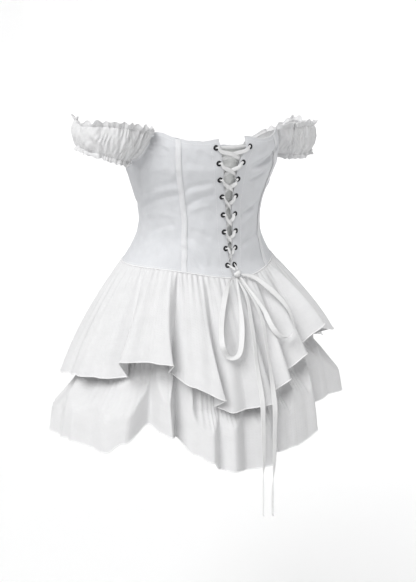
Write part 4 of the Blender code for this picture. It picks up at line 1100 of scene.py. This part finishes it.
# Bow
# The lace ends are tied in a bow under the last pair: a small tight knot, two long teardrop loops
# and two tails that fall past the hem. The ribbon is flat and 10.5 mm wide, cut bare at its ends.
RIBBON_WIDTH = 0.0105
RIBBON_THICKNESS = 0.0009
KNOT_HALF_SIZE = (0.0080, 0.0055, 0.0075)
RibbonStation = namedtuple("RibbonStation", "angle height clear turn width")
LOOP_RIGHT = [
    RibbonStation(-1.25, -0.1008, 0.0060, 20.0, 0.35),
    RibbonStation(-6.7, -0.1070, 0.0110, 5.0, 0.75),
    RibbonStation(-11.4, -0.1290, 0.0115, -10.0, 1.00),
    RibbonStation(-15.0, -0.1580, 0.0120, -15.0, 1.00),
    RibbonStation(-17.9, -0.1850, 0.0120, -15.0, 1.00),
    RibbonStation(-18.8, -0.2091, 0.0120, -5.0, 1.00),
    RibbonStation(-16.2, -0.2295, 0.0120, 30.0, 1.00),
    RibbonStation(-13.7, -0.2342, 0.0120, 60.0, 1.00),
    RibbonStation(-10.6, -0.2280, 0.0120, 50.0, 1.00),
    RibbonStation(-8.2, -0.2099, 0.0120, 40.0, 1.00),
    RibbonStation(-5.9, -0.1809, 0.0115, 35.0, 1.00),
    RibbonStation(-3.8, -0.1483, 0.0110, 25.0, 0.60),
    RibbonStation(0.2, -0.1049, 0.0059, 20.0, 0.35),
]
LOOP_LEFT = [
    RibbonStation(4.25, -0.0990, 0.0073, 20.0, 0.35),
    RibbonStation(12.0, -0.1064, 0.0110, 0.0, 0.80),
    RibbonStation(17.0, -0.1241, 0.0115, -15.0, 1.00),
    RibbonStation(20.9, -0.1432, 0.0120, -20.0, 1.00),
    RibbonStation(23.1, -0.1636, 0.0120, -15.0, 1.00),
    RibbonStation(22.4, -0.1840, 0.0120, 0.0, 1.00),
    RibbonStation(19.8, -0.2003, 0.0120, 30.0, 1.00),
    RibbonStation(16.9, -0.2124, 0.0120, 60.0, 1.00),
    RibbonStation(13.6, -0.2105, 0.0120, 55.0, 1.00),
    RibbonStation(10.5, -0.1969, 0.0120, 45.0, 1.00),
    RibbonStation(9.3, -0.1773, 0.0120, 40.0, 1.00),
    RibbonStation(8.5, -0.1566, 0.0115, 30.0, 0.75),
    RibbonStation(2.9, -0.1034, 0.0067, 20.0, 0.35),
]
TAIL_RIGHT = [
    RibbonStation(1.3, -0.1054, 0.0019, 0.0, 0.35),
    RibbonStation(2.6, -0.1370, 0.0045, 0.0, 0.75),
    RibbonStation(0.5, -0.1740, 0.0070, 10.0, 1.00),
    RibbonStation(-1.0, -0.2110, 0.0070, 15.0, 1.00),
    RibbonStation(-2.5, -0.2440, 0.0070, 10.0, 1.00),
    RibbonStation(-3.1, -0.2780, 0.0070, 0.0, 1.00),
    RibbonStation(-3.4, -0.3130, 0.0070, -10.0, 1.00),
    RibbonStation(-3.4, -0.3500, 0.0070, 0.0, 1.00),
    RibbonStation(-3.3, -0.3900, 0.0070, 10.0, 1.00),
    RibbonStation(-3.8, -0.4270, 0.0075, 25.0, 1.00),
    RibbonStation(-4.1, -0.4660, 0.0075, 65.0, 1.00),
    RibbonStation(-3.9, -0.5070, 0.0075, 75.0, 1.00),
    RibbonStation(-3.9, -0.5360, 0.0075, 78.0, 1.00),
]
TAIL_LEFT = [
    RibbonStation(2.95, -0.1048, 0.0023, 0.0, 0.35),
    RibbonStation(6.3, -0.1450, 0.0045, 0.0, 0.75),
    RibbonStation(6.2, -0.1830, 0.0070, 10.0, 1.00),
    RibbonStation(4.9, -0.2220, 0.0070, 15.0, 1.00),
    RibbonStation(3.6, -0.2620, 0.0070, 10.0, 1.00),
    RibbonStation(2.6, -0.3000, 0.0070, -5.0, 1.00),
    RibbonStation(2.2, -0.3350, 0.0070, -10.0, 1.00),
    RibbonStation(2.2, -0.3760, 0.0070, 0.0, 1.00),
    RibbonStation(1.5, -0.4130, 0.0070, 10.0, 1.00),
    RibbonStation(0.8, -0.4510, 0.0075, 35.0, 1.00),
    RibbonStation(0.4, -0.4910, 0.0075, 70.0, 1.00),
    RibbonStation(0.5, -0.5410, 0.0075, 78.0, 1.00),
]


def skirt_front(angle, height):
    """How far out the skirt stands near an angle, at a height or above it."""
    near = np.arange(30.0, 90.0, 1.0) / 3.0
    near = near[np.abs(fold_value("angle", near) - angle) <= 7.0]
    seam = waist_seam(fold_value("angle", near))
    v = (seam - height) / (seam - fold_value("upper_height", near))
    reach = float(upper_reach(near, np.minimum(v, 1.0)).max())
    past = near[v > 0.95]
    if len(past):
        turn = fold_value("angle", past)
        seam = waist_seam(turn)
        drop = np.minimum((seam - height) / (seam - fold_value("lower_height", past)), 1.0)
        away = lower_tier(past, drop) - body_point(turn, seam)
        reach = max(reach, float(np.hypot(away[:, 0], away[:, 1]).max()))
    return reach


def ribbon(name, stations, tail):
    """A free run of the bow's ribbon in front of the skirt, and the line that it follows."""
    centres = []
    furthest = 0.0
    for station in stations:
        if station.height > waist_seam(station.angle):
            centres.append(body_point(station.angle, station.height, station.clear))
        else:
            reach = skirt_front(station.angle, station.height) + station.clear
            furthest = max(furthest, reach) if tail else reach
            centres.append(skirt_place(station.angle, furthest, station.height))
    shape = [[*c, s.turn, s.width] for c, s in zip(centres, stations)]
    line = soft_line(shape, 12)
    path = line[:, :3]
    ahead = unit(np.gradient(path, axis=0))
    out = path * np.array([1.0, 1.0, 0.0])
    out = unit(out - ahead * (out * ahead).sum(1, keepdims=True))
    flat = np.cross(ahead, out)
    turn = np.radians(line[:, 3:4] + 5.0 * np.sin(np.arange(len(line)) * 0.17)[:, None])
    sides = flat * np.cos(turn) + out * np.sin(turn)
    widths = line[:, 4] * RIBBON_WIDTH
    return flat_ribbon(name, path, sides, widths, RIBBON_THICKNESS, LACE_CLOTH), path


def tied_knot():
    """The knot: a tight ball of ribbon with the wraps showing as slanting ridges."""
    centre = on_front(KNOT_X, KNOT_HEIGHT, KNOT_OUT)
    turn, lift = np.meshgrid(np.linspace(0.0, 2.0 * math.pi, 64, endpoint=False), np.linspace(0.03, math.pi - 0.03, 34))
    wrap = np.sin(3.0 * lift + 1.0 * np.sin(turn) + turn)
    swell = 1.0 + 0.13 * wrap - 0.10 * np.exp(-((np.sin(turn / 1.0 + 0.6) / 0.25) ** 2)) * np.sin(lift)
    ball = np.stack([np.cos(turn) * np.sin(lift), np.sin(turn) * np.sin(lift), np.cos(lift)], -1)
    points = centre + ball * swell[..., None] * np.array(KNOT_HALF_SIZE) * 0.84
    number = np.arange(points.shape[0] * points.shape[1]).reshape(points.shape[:2])
    quads = np.stack([number[:-1], np.roll(number[:-1], -1, 1), np.roll(number[1:], -1, 1), number[1:]], -1)
    faces = quads.reshape(-1, 4)[:, ::-1].tolist() + [number[0].tolist(), number[-1][::-1].tolist()]
    mesh = bpy.data.meshes.new("bow_knot_tied")
    mesh.from_pydata(points.reshape(-1, 3).tolist(), [], faces)
    layer = mesh.uv_layers.new(name="cloth")
    corner = np.empty(len(mesh.loops), np.int32)
    mesh.loops.foreach_get("vertex_index", corner)
    place = np.stack([turn * 0.006, lift * 0.006], -1).reshape(-1, 2)
    layer.data.foreach_set("uv", place[corner].astype(np.float32).ravel())
    mesh.shade_smooth()
    mesh.materials.append(LACE_CLOTH)
    made = bpy.data.objects.new("bow_knot_tied", mesh)
    bpy.context.scene.collection.objects.link(made)
    return made


knot = tied_knot()
put_on(knot, "bow_knot")
for node, stations, tail in (
    ("bow_loop_right", LOOP_RIGHT, False),
    ("bow_loop_left", LOOP_LEFT, False),
    ("bow_tail_right", TAIL_RIGHT, True),
    ("bow_tail_left", TAIL_LEFT, True),
):
    piece, path = ribbon(node + "_ribbon", stations, tail)
    put_on(piece, node)


# Studio
# A pale round floor that sweeps up into a wall, even white light from all around, a large soft light on
# the dress's right front, and the camera where the photograph was taken from, looking down a little.
FLOOR_HEIGHT = -1.50
FLOOR_RADIUS = 5.0
SWEEP_RADIUS = 2.0
CAMERA_PLACE = Vector((-0.9688, -1.5760, 0.2832))
CAMERA_AIM = Vector((0.5170, 0.8242, -0.2311))
FOCAL_PIXELS = 939.87
PICTURE_HEIGHT = 582
SENSOR = 36.0

profile = [(0.0, FLOOR_HEIGHT), (FLOOR_RADIUS * 0.5, FLOOR_HEIGHT), (FLOOR_RADIUS, FLOOR_HEIGHT)]
for step in range(1, 13):
    turn = math.radians(90.0 * step / 12)
    profile.append((FLOOR_RADIUS + SWEEP_RADIUS * math.sin(turn), FLOOR_HEIGHT + SWEEP_RADIUS * (1.0 - math.cos(turn))))
around = 96
profile.append((FLOOR_RADIUS + SWEEP_RADIUS, 2.4))
points = []
faces = []
for r, z in profile[1:]:
    for k in range(around):
        turn = 2.0 * math.pi * k / around
        points.append((r * math.cos(turn), r * math.sin(turn), z))
for i in range(len(profile) - 2):
    for k in range(around):
        n = (k + 1) % around
        faces.append((i * around + k, (i + 1) * around + k, (i + 1) * around + n, i * around + n))
faces.append(tuple(range(around)))
mesh = bpy.data.meshes.new("floor")
mesh.from_pydata(points, [], faces)
floor = bpy.data.objects.new("floor", mesh)
bpy.context.scene.collection.objects.link(floor)
paper = bpy.data.materials.new("floor_paper")
paper.use_nodes = True
paper.node_tree.nodes["Principled BSDF"].inputs["Base Color"].default_value = (0.93, 0.93, 0.93, 1.0)
paper.node_tree.nodes["Principled BSDF"].inputs["Roughness"].default_value = 0.9
mesh.materials.append(paper)

world = bpy.data.worlds.new("studio")
world.use_nodes = True
world.node_tree.nodes["Background"].inputs["Color"].default_value = (1.0, 1.0, 1.0, 1.0)
world.node_tree.nodes["Background"].inputs["Strength"].default_value = 0.40
bpy.context.scene.world = world


key = bpy.data.lights.new("key", "SUN")
key.energy = 2.45
key.angle = math.radians(40.0)
key_box = bpy.data.objects.new("key", key)
key_box.rotation_euler = Vector((2.2, 1.0, -2.6)).to_track_quat("-Z", "Y").to_euler()
bpy.context.scene.collection.objects.link(key_box)

lens = bpy.data.cameras.new("camera")
lens.sensor_width = SENSOR
lens.lens = FOCAL_PIXELS / PICTURE_HEIGHT * SENSOR
lens.clip_start = 0.05
lens.clip_end = 60.0
camera = bpy.data.objects.new("camera", lens)
camera.location = CAMERA_PLACE
camera.rotation_euler = CAMERA_AIM.to_track_quat("-Z", "Y").to_euler()
bpy.context.scene.collection.objects.link(camera)
bpy.context.scene.camera = camera
bpy.context.scene.view_settings.view_transform = "Standard"
